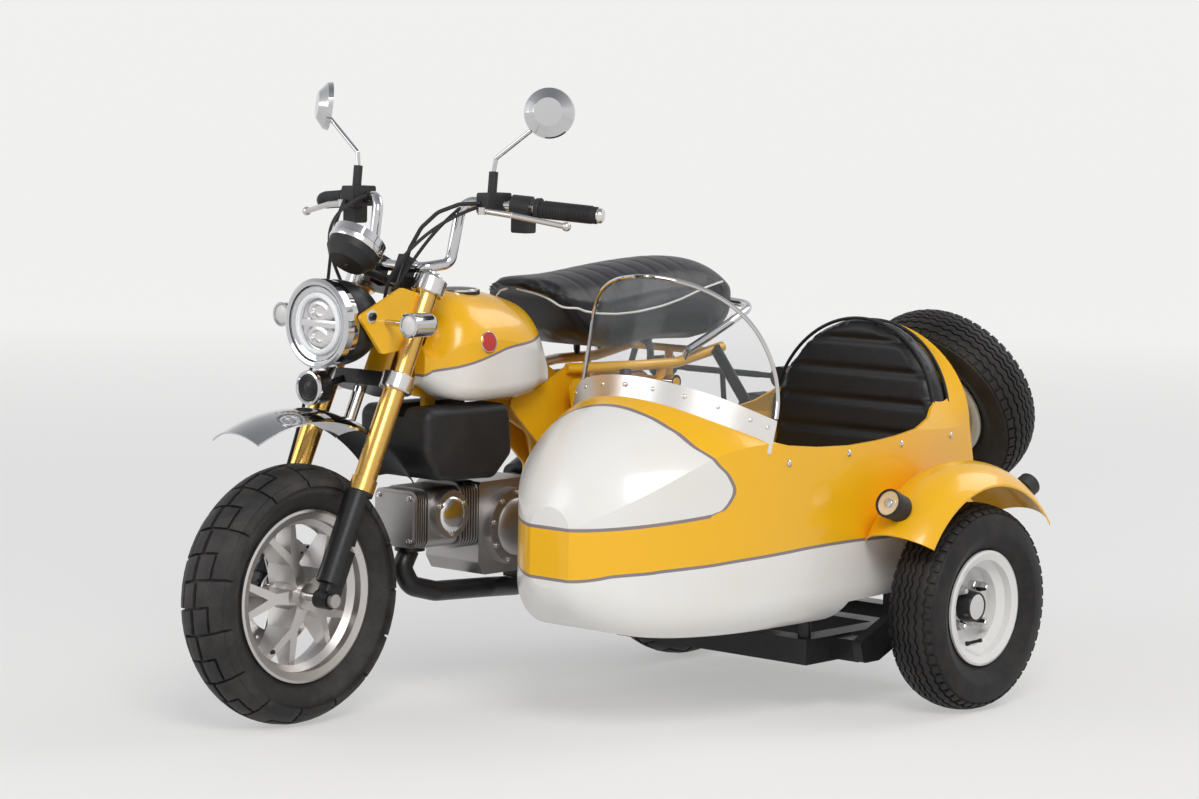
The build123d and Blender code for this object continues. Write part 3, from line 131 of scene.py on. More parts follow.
class Nodes:
    """A node tree that is built node by node, on an object's surface or on the sky."""

    def __init__(self, owner):
        owner.use_nodes = True
        self.tree = owner.node_tree
        self.tree.nodes.clear()

    def add(self, kind, settings=None, values=None):
        """A node of a kind, with its settings first and then its sockets' values or links."""
        node = self.tree.nodes.new("ShaderNode" + kind)
        for name, value in (settings or {}).items():
            if name == "stops":
                while len(node.color_ramp.elements) > 1:
                    node.color_ramp.elements.remove(node.color_ramp.elements[-1])
                for i, (place, shade) in enumerate(value):
                    stop = node.color_ramp.elements[0] if i == 0 else node.color_ramp.elements.new(place)
                    stop.position = place
                    stop.color = (*shade, 1) if hasattr(shade, "__len__") else (shade, shade, shade, 1)
            elif name == "interpolation" and kind == "ValToRGB":
                node.color_ramp.interpolation = value
            else:
                setattr(node, name, value)
        for name, value in (values or {}).items():
            self.feed(node.inputs[name.replace("_", " ") if isinstance(name, str) else name], value)
        return node

    def feed(self, socket, value):
        if isinstance(value, Number):
            value = value.socket
        if isinstance(value, bpy.types.NodeSocket):
            self.tree.links.new(value, socket)
        elif hasattr(value, "__len__") and len(value) == 3 and len(socket.default_value) == 4:
            socket.default_value = (*value, 1)
        else:
            socket.default_value = value

    def ramp(self, value, *stops):
        return self.add("ValToRGB", {"stops": stops}, {0: value}).outputs[0]

    def seen(self):
        """1 for the rays of the camera, of mirrors and of clear pieces, and 0 for the light's own."""
        rays = self.add("LightPath").outputs
        camera, mirror, through = (
            Number(self, rays[name]) for name in ("Is Camera Ray", "Is Glossy Ray", "Is Transmission Ray")
        )
        return camera.most(mirror).most(through)


class Finish(Nodes):
    """A material on a Principled shader."""

    def __init__(self, name, **settings):
        self.material = bpy.data.materials.new(name)
        super().__init__(self.material)
        self.shader = self.add("BsdfPrincipled", None, settings)
        self.output = self.add("OutputMaterial")
        self.feed(self.output.inputs[0], self.shader.outputs[0])

    def set(self, name, value):
        self.feed(self.shader.inputs[name], value)

    def place(self):
        """The point on the part in mm ahead of, left of and above the ground under the rear axle."""
        point = self.add("TexCoord").outputs["Object"]
        split = self.add("SeparateXYZ", None, {0: point})
        x, y, z = (Number(self, split.outputs[i]) for i in range(3))
        return (x - origin.x) * 1000, (y - origin.y) * 1000, z * 1000

    def noise(self, scale, detail, roughness=0.5, stretch=(1, 1, 1)):
        point = self.add("TexCoord").outputs["Object"]
        mapping = self.add("Mapping", None, {"Vector": point, "Scale": stretch})
        node = self.add(
            "TexNoise", None,
            {"Vector": mapping.outputs[0], "Scale": scale, "Detail": detail, "Roughness": roughness},
        )
        return Number(self, node.outputs[0])

    def cells(self, scale, feature="F1"):
        point = self.add("TexCoord").outputs["Object"]
        node = self.add("TexVoronoi", {"feature": feature}, {"Vector": point, "Scale": scale})
        return Number(self, node.outputs["Distance"])

    def blend(self, mask, first, second):
        node = self.add("Mix", {"data_type": "RGBA"}, {0: mask, 6: first, 7: second})
        return node.outputs[2]

    def curve(self, value, low, high, points, floor, roof):
        """A height that follows a line of points as value runs from low to high."""
        stops = [((a - low) / (high - low), (b - floor) / (roof - floor)) for a, b in sorted(points)]
        share = (value - low) / (high - low)
        node = self.add("ValToRGB", {"stops": stops, "interpolation": "CARDINAL"}, {0: share})
        split = self.add("SeparateColor", None, {0: node.outputs[0]})
        return Number(self, split.outputs[0]) * (roof - floor) + floor

    def bump(self, height, distance, strength):
        node = self.add("Bump", None, {"Strength": strength, "Distance": distance, "Height": height})
        self.set("Normal", node.outputs[0])


def shade(colour, factor):
    return tuple(min(1, part * factor) for part in colour)


yellow = (0.92, 0.49, 0.008)
cream = (0.82, 0.815, 0.80)
grey_line = (0.23, 0.20, 0.22)
finishes = {}


def paint(name, colour, colour_of=None):
    """Gloss paint with a faint flow in the colour and a clear coat."""
    made = Finish(name, **{"Metallic": 0.0, "IOR": 1.45, "Coat Weight": 0.35, "Coat Roughness": 0.03})
    base = colour_of(made) if colour_of else colour
    drift = made.noise(7, 2)
    dust = made.noise(55, 4)
    tinted = made.blend((drift - 0.35) * 0.22, base, shade(colour, 0.72))
    made.set("Base Color", tinted)
    made.set("Roughness", 0.24 + dust * 0.14)
    made.bump(made.noise(420, 2), 0.00012, 0.25)
    finishes[name] = made.material


def hull_colours(made):
    """Yellow above a white belly, a white nose panel, and a fine grey line along both edges."""
    x, y, z = made.place()
    seam = made.curve(
        x, -100, 940,
        [(-100, 343), (194, 343), (358, 346), (513, 343), (680, 334), (807, 324), (880, 315), (920, 303)],
        290, 360,
    )
    edge = made.curve(
        z, 400, 640,
        [
            (424, 717), (433, 690), (457, 669), (482, 669), (511, 692), (545, 724), (579, 739), (602, 748),
            (614, 752),
        ],
        640, 780,
    )
    from_top = z - seam
    lower_line = 399 + (920 - x) * 0.1232
    inside = ((x - edge) * 0.8).least(z - lower_line)
    white = (inside > 0).most(from_top < 0)
    line = (abs(inside + 0.5) < 3.2).most(abs(from_top) < 3.0)
    ground = made.blend(white, yellow, cream)
    return made.blend(line, ground, grey_line)


def tank_colours(made):
    """Yellow above a white side panel, and a grey line between them."""
    x, y, z = made.place()
    edge = made.curve(
        x, 530, 900, [(530, 722), (595, 710), (705, 692), (845, 658), (887, 647)], 640, 730,
    )
    drop = z - edge
    ground = made.blend(drop < 0, yellow, cream)
    return made.blend(abs(drop) < 2.6, ground, grey_line)


def metal(name, colour, rough, grain, stretch, scale):
    """Metal with a fine grain, stretched along the way that it was brushed, and faint stains."""
    made = Finish(name, **{"Metallic": 1.0})
    brushed = made.noise(scale, 4, 0.6, stretch)
    stain = made.noise(14, 3)
    made.set("Base Color", made.blend((stain - 0.3) * 0.5, colour, shade(colour, 0.78)))
    made.set("Roughness", rough + (brushed - 0.5) * grain * 2 + (stain - 0.5) * 0.08)
    made.bump(brushed, 0.00008, 0.2)
    finishes[name] = made.material


def soft_black(name, colour, rough, bump_scale, depth, dust):
    """Black rubber or plastic with a moulded grain and pale dust in places."""
    made = Finish(name, **{"Metallic": 0.0, "IOR": 1.5, "Specular IOR Level": 0.35})
    grain = made.cells(bump_scale)
    wear = made.noise(18, 5, 0.65)
    made.set("Base Color", made.blend((wear - 0.42) * dust * 6, colour, (0.16, 0.14, 0.13)))
    made.set("Roughness", rough + (wear - 0.5) * 0.18)
    made.bump(grain + made.noise(bump_scale * 2.5, 2) * 0.4, depth, 0.5)
    finishes[name] = made.material


def vinyl(name):
    """Black upholstery vinyl: small pebbled grain, and a soft sheen."""
    made = Finish(name, **{"Metallic": 0.0, "IOR": 1.5, "Specular IOR Level": 0.35})
    pebbles = made.cells(620, "SMOOTH_F1")
    creases = made.noise(42, 4, 0.6)
    made.set("Base Color", made.blend((creases - 0.4) * 0.6, (0.010, 0.010, 0.012), (0.024, 0.022, 0.023)))
    made.set("Roughness", 0.40 + (creases - 0.5) * 0.2)
    made.bump(pebbles * 0.6 + creases * 1.4, 0.0006, 0.45)
    finishes[name] = made.material


def clear(name, colour, alpha, rough=0.03):
    """Clear or coloured plastic with faint smears. Less alpha lets more show through."""
    made = Finish(name, **{"Metallic": 0.0, "IOR": 1.45, "Coat Weight": 0.3})
    smears = made.noise(9, 4, 0.6)
    made.set("Base Color", made.blend(smears * 0.3, colour, shade(colour, 0.85)))
    made.set("Roughness", rough + smears * 0.05)
    made.set("Alpha", alpha + (smears - 0.5) * 0.06)
    finishes[name] = made.material


def make_finishes():
    paint("yellow_paint", yellow)
    paint("white_paint", cream)
    paint("hull_paint", yellow, hull_colours)
    paint("tank_paint", yellow, tank_colours)
    paint("red_paint", (0.5, 0.03, 0.02))
    paint("lamp_white", (0.92, 0.93, 0.95))
    paint("dial_black", (0.02, 0.02, 0.022))
    paint("piping_white", (0.78, 0.77, 0.74))
    paint("satin_white", (0.60, 0.64, 0.66))
    metal("gold_fork", (0.72, 0.44, 0.12), 0.26, 0.04, (1, 1, 0.1), 120)
    metal("satin_alloy", (0.60, 0.575, 0.56), 0.36, 0.05, (1, 0.1, 1), 220)
    metal("brushed_alloy", (0.72, 0.70, 0.68), 0.34, 0.10, (1, 0.04, 1), 300)
    metal("polished_alloy", (0.72, 0.70, 0.69), 0.20, 0.03, (1, 0.1, 1), 200)
    metal("engine_metal", (0.40, 0.385, 0.38), 0.42, 0.07, (1, 1, 1), 260)
    metal("chrome", (0.60, 0.60, 0.61), 0.07, 0.01, (1, 1, 1), 60)
    metal("steel", (0.50, 0.49, 0.48), 0.32, 0.06, (0.2, 1, 0.2), 300)
    soft_black("black_metal", (0.012, 0.012, 0.013), 0.34, 900, 0.00008, 0.03)
    soft_black("black_plastic", (0.018, 0.018, 0.019), 0.52, 700, 0.00015, 0.05)
    soft_black("rubber", (0.016, 0.016, 0.017), 0.6, 500, 0.0002, 0.06)
    soft_black("tyre", (0.020, 0.019, 0.019), 0.62, 260, 0.0003, 0.12)
    soft_black("trailer_tyre", (0.010, 0.009, 0.009), 0.6, 260, 0.0003, 0.07)
    vinyl("vinyl")
    clear("screen", (0.30, 0.32, 0.33), 0.10)
    clear("lens", (0.88, 0.91, 0.94), 0.16)
    clear("signal_lens", (0.85, 0.84, 0.82), 0.75, 0.08)
    clear("red_lens", (0.42, 0.02, 0.015), 0.9, 0.08)
    clear("amber_glass", (0.80, 0.34, 0.04), 0.9, 0.08)


wears = {
    "yellow_paint": "frame side_covers headlamp_stays sidecar_mudguard",
    "white_paint": "sidecar_rim",
    "hull_paint": "hull_upper hull_lower",
    "tank_paint": "fuel_tank",
    "gold_fork": "fork_tubes",
    "satin_alloy": "front_rim rear_rim levers",
    "brushed_alloy": "windscreen_band",
    "engine_metal": "engine_case engine_cylinder",
    "chrome": "chrome_rings handlebar mirrors front_mudguard rear_mudguard grab_rail shock_absorbers"
    " front_signals",
    "steel": "drive_chain front_axle rear_axle front_brake_disc rear_sprocket_and_disc",
    "polished_alloy": "spare_bracket sidecar_hub",
    "black_metal": "swingarm exhaust footpegs sidecar_frame sidecar_struts yokes_and_stem fork_lowers"
    " headlamp_shell horn brake_caliper",
    "black_plastic": "airbox tank_cap bar_controls meter front_mudguard_tail mudguard_lamps rear_lamps",
    "rubber": "grips control_cables",
    "tyre": "front_tyre rear_tyre sidecar_tyre spare_tyre",
    "vinyl": "seat sidecar_cushion sidecar_backrest",
    "screen": "windscreen",
    "lens": "headlamp_lens",
    "satin_white": "spare_rim",
}


# Modelling helpers


def deselect():
    if bpy.context.object and bpy.context.object.mode != "OBJECT":
        bpy.ops.object.mode_set(mode="OBJECT")
    bpy.ops.object.select_all(action="DESELECT")


def choose(*pieces):
    deselect()
    for piece in pieces:
        piece.select_set(True)
    bpy.context.view_layer.objects.active = pieces[0]


def lathe(name, outline, steps):
    """A turned piece about its own Z axis, from (radius, height) pairs in mm."""
    deselect()
    bpy.ops.mesh.primitive_grid_add(x_subdivisions=len(outline) - 1, y_subdivisions=steps, size=1)
    made = bpy.context.object
    made.name = made.data.name = name
    for vertex in made.data.vertices:
        column = round((vertex.co.x + 0.5) * (len(outline) - 1))
        turn = round((vertex.co.y + 0.5) * steps) * math.tau / steps
        radius, height = outline[column]
        vertex.co = (radius * mm * math.cos(turn), radius * mm * math.sin(turn), height * mm)
    return closed(made)


def closed(made):
    """Merges doubles, and turns every face outwards."""
    choose(made)
    bpy.ops.object.mode_set(mode="EDIT")
    bpy.ops.mesh.select_all(action="SELECT")
    bpy.ops.mesh.remove_doubles(threshold=0.02 * mm)
    bpy.ops.mesh.dissolve_degenerate(threshold=0.01 * mm)
    bpy.ops.mesh.normals_make_consistent(inside=False)
    bpy.ops.object.mode_set(mode="OBJECT")
    return made


def box(name, size, edge):
    """A block with rounded edges, centred on its own origin, in mm."""
    deselect()
    bpy.ops.mesh.primitive_cube_add(size=1)
    made = bpy.context.object
    made.name = made.data.name = name
    made.data.transform(Matrix.Diagonal((*[side * mm for side in size], 1)))
    bevel = made.modifiers.new("edge", "BEVEL")
    bevel.width, bevel.segments, bevel.limit_method = edge * mm, 2, "ANGLE"
    bpy.ops.object.modifier_apply(modifier=bevel.name)
    return made


def facing(centre, axis):
    """The matrix that stands a piece's Z axis along an axis, at a centre."""
    z = Vector(axis).normalized()
    x = Vector((0, 0, 1)).cross(z).normalized()
    turn = Matrix((x, z.cross(x), z)).transposed().to_4x4()
    return Matrix.Translation(centre) @ turn


def repeat(made, places):
    """Copies a piece to each place and joins the copies."""
    copies = []
    for place in places:
        copy = made.copy()
        copy.data = made.data.copy()
        copy.data.transform(place)
        bpy.context.scene.collection.objects.link(copy)
        copies.append(copy)
    name = made.name
    bpy.data.objects.remove(made)
    choose(*copies)
    if len(copies) > 1:
        bpy.ops.object.join()
    joined = bpy.context.object
    joined.name = joined.data.name = name
    return joined


def join(name, *pieces):
    choose(*pieces)
    bpy.ops.object.join()
    made = bpy.context.object
    made.name = made.data.name = name
    return made


def rod(name, points, radius, body, finish):
    """A round rod, cable or piping along points, as a bevelled curve turned into a mesh."""
    line = bpy.data.curves.new(name, "CURVE")
    line.dimensions, line.bevel_depth, line.bevel_resolution = "3D", radius * mm, 3
    line.use_fill_caps, line.resolution_u = True, 8
    spline = line.splines.new("NURBS")
    spline.points.add(len(points) - 1)
    for target, point in zip(spline.points, points):
        target.co = (*point, 1)
    spline.order_u, spline.use_endpoint_u = 4, True
    made = bpy.data.objects.new(name, line)
    bpy.context.scene.collection.objects.link(made)
    choose(made)
    bpy.ops.object.convert(target="MESH")
    return dressed(bpy.context.object, body, finish)


def dressed(made, body, finish, angle=35):
    """Settles a finished piece: its place in its mesh, smooth faces, finish and body."""
    choose(made)
    bpy.ops.object.transform_apply(location=True, rotation=True, scale=True)
    bpy.ops.object.shade_smooth_by_angle(angle=math.radians(angle))
    if not made.data.materials:
        made.data.materials.append(finishes[finish])
    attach(made, body)
    return made


def ring(*outline):
    """The outline of a turned piece that is open in its middle."""
    return [*outline, outline[0]]


def domed(radius, height, rim=0.0):
    """The outline of a domed stud head or lens, closed below."""
    arc = [math.pi / 2 * i / 5 for i in range(1, 5)]
    outline = [(0, -0.5), (radius + rim, -0.5), (radius + rim, rim * 0.8)]
    outline += [(radius * math.cos(a), rim * 0.8 + height * math.sin(a)) for a in arc]
    return outline + [(0, rim * 0.8 + height)]


def turned(name, outline, steps, body, finish, *places):
    """A turned piece, copied to each place, with its finish and its body."""
    return dressed(repeat(lathe(name, outline, steps), places), body, finish)


# Tyres


def tyre_section(radius, width, bead, bead_half, drop, cuts, tread_depth, wall_columns):
    """The tyre's outline as (radius, side) pairs, split at the tread's cuts across."""
    bead_gap, lip_height, rubber = 0.3, 14, 9
    seat, half = bead + bead_gap, width / 2
    widest = seat + (radius - seat) / 2
    shoulder, crown_half = radius - drop, half * 0.84
    lip, side = seat + lip_height, bead_half - bead_gap
    curve = (drop**2 + crown_half**2) / (2 * drop)
    wall = [(seat, side)]
    for i in range(7):
        t = i / 7
        rise = math.sin(t * math.pi / 2)
        spread = math.sin(min(1, t * 1.15) * math.pi / 2)
        wall.append((lip + (widest - lip) * rise, side + (half - side) * spread))
    for i in range(6):
        t = i / 6
        r = widest + (shoulder - widest) * t
        wall.append((r, half - (half - crown_half) * t**2.2))
    crown = []
    for y in cuts:
        rise = math.sqrt(max(0, curve**2 - y**2)) - (curve - drop)
        crown.append((shoulder + rise - tread_depth, y))
    edge_r = shoulder - tread_depth
    outer = [p for p in wall if p[0] < edge_r - 2]
    thick = rubber + 3
    hollow = [(lip, bead_half - rubber), (widest, half - rubber), (shoulder - thick, crown_half - thick)]
    inner = [(r, -y) for r, y in hollow] + [(radius - thick, 0)] + hollow[::-1]
    section = outer + crown[::-1] + [(r, -y) for r, y in outer[::-1]] + inner
    first = len(outer) - wall_columns
    return section, first, first + len(crown) - 1 + 2 * wall_columns


def treaded_tyre(name, node, body, finish, sizes, tread, depth, wall_columns, place):
    """A tyre whose tread blocks are raised from a gridded carcass; block(row, column) picks them."""
    cuts, rows, block, sway = tread
    section, first, last = tyre_section(*sizes, cuts, depth, wall_columns)
    section += section[:1]
    count, turns = len(section) - 1, len(rows)
    starts = [sum(rows[:i]) / sum(rows) * math.tau for i in range(turns + 1)]
    deselect()
    bpy.ops.mesh.primitive_grid_add(x_subdivisions=count, y_subdivisions=turns, size=1)
    made = bpy.context.object
    made.name = made.data.name = name
    layer = made.data.attributes.new("cell", "INT", "FACE")
    for face in made.data.polygons:
        column, row = int((face.center.x + 0.5) * count), int((face.center.y + 0.5) * turns)
        layer.data[face.index].value = int(first <= column < last and block(row, column - first))
    for vertex in made.data.vertices:
        column, row = round((vertex.co.x + 0.5) * count), round((vertex.co.y + 0.5) * turns)
        r, y = section[column]
        lift, slide = sway(row, y) if first <= column % count <= last else (0, 0)
        turn = starts[row] + lift
        vertex.co = (r * mm * math.cos(turn), r * mm * math.sin(turn), (y + slide) * mm)
    closed(made)
    choose(made)
    bpy.ops.object.mode_set(mode="EDIT")
    mesh = bmesh.from_edit_mesh(made.data)
    cell = mesh.faces.layers.int["cell"]
    bpy.ops.mesh.select_mode(type="FACE")
    bpy.ops.mesh.select_all(action="DESELECT")
    for face in mesh.faces:
        face.select_set(face[cell] == 1)
    mesh.select_flush_mode()
    bmesh.update_edit_mesh(made.data)
    bpy.ops.mesh.extrude_region_shrink_fatten(TRANSFORM_OT_shrink_fatten={"value": depth * mm})
    bpy.ops.mesh.inset(thickness=0.8 * mm, depth=0.4 * mm, use_even_offset=True)
    bpy.ops.object.mode_set(mode="OBJECT")
    made.data.attributes.remove(made.data.attributes["cell"])
    made.data.transform(place)
    dressed(made, body, finish, 28)
    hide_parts(node)


def road_tread(wide):
    """Big slanted blocks either side of a zigzag groove, offset from side to side and wrapped on to the
    shoulders, as on a dual-purpose tyre."""
    groove, face, pitches = 0.9, 4.1, 15
    rows = [groove, face, face] * 2 * pitches
    steps_out = (0.90, 0.72, 0.54, 0.48, 0.27, 0.06)
    cuts = [-wide * share for share in steps_out] + [wide * share for share in reversed(steps_out)]
    middle, cycle, slant, zig_reach = 8, 6, math.radians(0.045), 3.4

    def block(row, column):
        if column == middle:
            return False
        if column > middle:
            column, row = 2 * middle - column, row + cycle // 2
        phase = row % cycle
        if phase == 0:
            return False
        if column == 5:
            return phase in (1, 2)
        if column in (6, 7):
            return phase != 3
        return True

    def sway(row, y):
        zig = 0
        if abs(y) < wide * 0.1:
            zig = zig_reach if row % cycle in (1, 2, 3) else -zig_reach
        return -slant * y, zig

    return cuts, rows, block, sway


def trailer_tread():
    """Five zigzag ribs with notched shoulders."""
    rows = [1.0] * 208
    shoulder, zig_reach = 40, 1.9
    halves = (49, 38, 34.0, 22.5, 18.5, 7.5, 3.5)
    cuts = [-y for y in halves] + list(reversed(halves))

    def block(row, column):
        if column in (0, 12):
            return row % 4 != 0
        return column % 2 == 0

    def sway(row, y):
        if abs(y) >= shoulder:
            return 0, 0
        return 0, zig_reach if row % 4 in (1, 2) else -zig_reach

    return cuts, rows, block, sway


class SIDECAR_OT_tyres(bpy.types.Operator):
    """Models the four tyres with their treads"""

    bl_idname = "sidecar.tyres"
    bl_label = "Tyres"

    def execute(self, context):
        # A tyre's sizes are its radius, width, bead radius, half its bead's width and its crown's drop.
        depth = context.scene.sidecar_sizes.tread_depth / mm
        for name, node, body, sizes, centre in (
            ("front_block_tyre", "front_tyre", "front_wheel", (248, 118, 152, 36, 20), front_axle),
            ("rear_block_tyre", "rear_tyre", "rear_wheel", (256, 128, 152, 40, 20), rear_axle),
        ):
            tread = road_tread(sizes[1] / 2)
            treaded_tyre(name, node, body, "tyre", sizes, tread, depth, 3, facing(centre, left))
        rib_height = 4.0
        for name, node, body, place in (
            ("sidecar_ribbed_tyre", "sidecar_tyre", "sidecar_wheel", facing(side_axle, left)),
            ("spare_ribbed_tyre", "spare_tyre", "chassis", facing(spare_centre, spare_axis)),
        ):
            sizes = (205, 118, 101, 36, 14)
            treaded_tyre(name, node, body, "trailer_tyre", sizes, trailer_tread(), rib_height, 0, place)
        return {"FINISHED"}


# Upholstery


back_foot = spot(18, hull_middle, 376)
back_front = Vector((0.9945, 0, 0.105)).normalized()
back_up = Vector((-0.105, 0, 0.9945)).normalized()


def pad_from(node, name, swell):
    """A padded copy of a plain solid: remeshed, and puffed up by a cloth simulation."""
    voxel = 6
    source = nodes[node]
    made = source.copy()
    made.data = source.data.copy()
    bpy.context.scene.collection.objects.link(made)
    made.name = made.data.name = name
    made.parent = None
    for key in list(made.keys()):
        del made[key]
    made.data.materials.clear()
    closed(made)
    if made.data.has_custom_normals:
        choose(made)
        bpy.ops.mesh.customdata_custom_splitnormals_clear()
    choose(made)
    remesh = made.modifiers.new("voxels", "REMESH")
    remesh.mode, remesh.voxel_size = "VOXEL", voxel * mm
    bpy.ops.object.modifier_apply(modifier=remesh.name)
    soften = made.modifiers.new("soften", "SMOOTH")
    soften.factor, soften.iterations = 0.5, 6
    bpy.ops.object.modifier_apply(modifier=soften.name)
    last_frame = 12
    before = [vertex.co.copy() for vertex in made.data.vertices]
    cloth = made.modifiers.new("padding", "CLOTH")
    cloth.settings.use_pressure = True
    cloth.settings.uniform_pressure_force = 4
    cloth.settings.effector_weights.gravity = 0
    cloth.settings.tension_stiffness = 20
    cloth.settings.compression_stiffness = 20
    cloth.settings.quality = 4
    cloth.collision_settings.use_collision = False
    for step in range(1, last_frame + 1):
        bpy.context.scene.frame_set(step)
    evaluated = made.evaluated_get(bpy.context.evaluated_depsgraph_get())
    after = [vertex.co.copy() for vertex in evaluated.data.vertices]
    made.modifiers.remove(cloth)
    bpy.context.scene.frame_set(1)
    for vertex, old, new in zip(made.data.vertices, before, after):
        move = new - old
        if move.length > swell:
            move = move.normalized() * swell
        vertex.co = old + move
    return made


def channels(made, height_of, lines, depth, width, front):
    """Presses sewn channels into a pad where height_of(point) crosses the lines."""
    for vertex in made.data.vertices:
        share = front(vertex)
        if share <= 0:
            continue
        level = height_of(vertex.co)
        for line in lines:
            off = (level - line) / width
            if abs(off) < 3:
                vertex.co -= vertex.normal * depth * mm * share * math.exp(-off * off)


class SIDECAR_OT_pads(bpy.types.Operator):
    """Makes the saddle, the sidecar cushion and its backrest as padded vinyl"""

    bl_idname = "sidecar.pads"
    bl_label = "Pads"

    def execute(self, context):
        puff = context.scene.sidecar_sizes.pad_swell
        saddle = pad_from("seat", "saddle_pad", puff * 0.5)
        channels(
            saddle, lambda p: (p.x - origin.x) / mm, [120 + 46 * i for i in range(8)], 2.6, 5,
            lambda v: max(0, v.normal.z - 0.4),
        )
        dressed(saddle, "chassis", "vinyl", 70)
        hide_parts("seat")

        cushion = pad_from("sidecar_cushion", "cushion_pad", puff)
        channels(
            cushion, lambda p: (p.x - origin.x) / mm, [90 + 75 * i for i in range(5)], 5, 7,
            lambda v: max(0, v.normal.z - 0.3),
        )
        dressed(cushion, "chassis", "vinyl", 70)
        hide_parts("sidecar_cushion")

        back = pad_from("sidecar_backrest", "backrest_pad", puff * 0.7)
        half_width = 178 * mm
        channels(
            back, lambda p: (p - back_foot).dot(back_up) / mm, [62 * i + 20 for i in range(6)], 6, 6,
            lambda v: v.normal.dot(back_front) > 0.55 and abs(v.co.y - back_foot.y) < half_width,
        )
        dressed(back, "chassis", "vinyl", 70)
        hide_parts("sidecar_backrest")
        return {"FINISHED"}


# Windscreen, studs and rivets


# In side view the screen stands on screen_foot and leans back. From above it is an arc that turns by
# screen_turn to each side, with flat wings behind.
screen_foot, screen_lean, screen_radius, screen_turn = (715.5, 633.5), 0.284, 266.0, math.radians(53.6)
deck_slope = 0.539


def on_screen(x, z, inset=0.0):
    """The windscreen sheet's side offset at a side-view point, or 0 ahead of its front."""
    foot_x, foot_z = screen_foot
    radius = screen_radius - inset
    run = math.hypot(1, screen_lean)
    back = max(0.0, ((foot_x - x) + screen_lean * (foot_z - z)) / run - inset)
    limit = radius * (1 - math.cos(screen_turn))
    if back <= limit:
        return math.sqrt(max(0.0, radius**2 - (radius - back) ** 2))
    return radius * math.sin(screen_turn) + (back - limit) / math.tan(screen_turn)


def deck(x, above):
    """A height above the sloping deck that the screen stands on."""
    return screen_foot[1] - deck_slope * (screen_foot[0] - x) + above


def arc_through(first, middle, last, count):
    """Points on the circle through three points, from the first to the last."""
    (ax, ay), (bx, by), (cx, cy) = first, middle, last
    a, b, c = ax**2 + ay**2, bx**2 + by**2, cx**2 + cy**2
    d = 2 * (ax * (by - cy) + bx * (cy - ay) + cx * (ay - by))
    ux = (a * (by - cy) + b * (cy - ay) + c * (ay - by)) / d
    uy = (a * (cx - bx) + b * (ax - cx) + c * (bx - ax)) / d
    radius = math.hypot(ax - ux, ay - uy)
    start, halfway, end = (math.atan2(y - uy, x - ux) for x, y in (first, middle, last))
    onward = (halfway - start) % math.tau <= (end - start) % math.tau
    sweep = (end - start) % math.tau if onward else -((start - end) % math.tau)
    turns = [start + sweep * i / count for i in range(count + 1)]
    return [(ux + radius * math.cos(turn), uy + radius * math.sin(turn)) for turn in turns]


class SIDECAR_OT_screen_trim(bpy.types.Operator):
    """Edges the windscreen with a chrome bead, rivets its foot band and studs the hull"""

    bl_idname = "sidecar.screen_trim"
    bl_label = "Windscreen trim"

    def execute(self, context):
        arch = arc_through((563.6, 598.0), (585, 780), (652, 858), 26)
        side = [(x, on_screen(x, z, 1.5), z) for x, z in arch]
        side[-1] = (side[-1][0], 0.0, side[-1][2])
        loop = [spot(x, hull_middle + y, z) for x, y, z in side]
        loop += [spot(x, hull_middle - y, z) for x, y, z in side[-2::-1]]
        rod("windscreen_bead", loop, 4.2, "chassis", "chrome")

        rivet_rise, foremost = 22, 712
        heads = []
        for y in (0, 62, 122, 176, 219, 240):
            for s in both if y else (1,):
                x = 715.0
                for step in range(30):
                    off = on_screen(x, deck(x, rivet_rise)) - y
                    x = min(x + (0.35 * off if off > 0 or y else 0), foremost)
                z = deck(x, rivet_rise)
                slope = (on_screen(x - 2, z) - on_screen(x + 2, z)) / 4
                normal = Vector((slope, s, 0.15 * slope)).normalized() if y else Vector((1, 0, 0.25))
                heads.append(facing(spot(x, hull_middle + s * y, z) + normal * 3 * mm, normal))
        turned("band_rivets", domed(4.6, 2.6), 16, "chassis", "polished_alloy", *heads)

        studs = []
        for x, y, z in ((529, 253.5, 512), (346, 255.5, 518), (170, 250.5, 523), (-37, 221.5, 523)):
            for s in both:
                normal = Vector((-0.18 if x < 0 else 0.05, s, 0.08))
                studs.append(facing(spot(x, hull_middle + s * y, z), normal))
        turned("hull_studs", domed(5.2, 3.2, 1.2), 16, "chassis", "chrome", *studs)
        return {"FINISHED"}


# Lamps and instruments


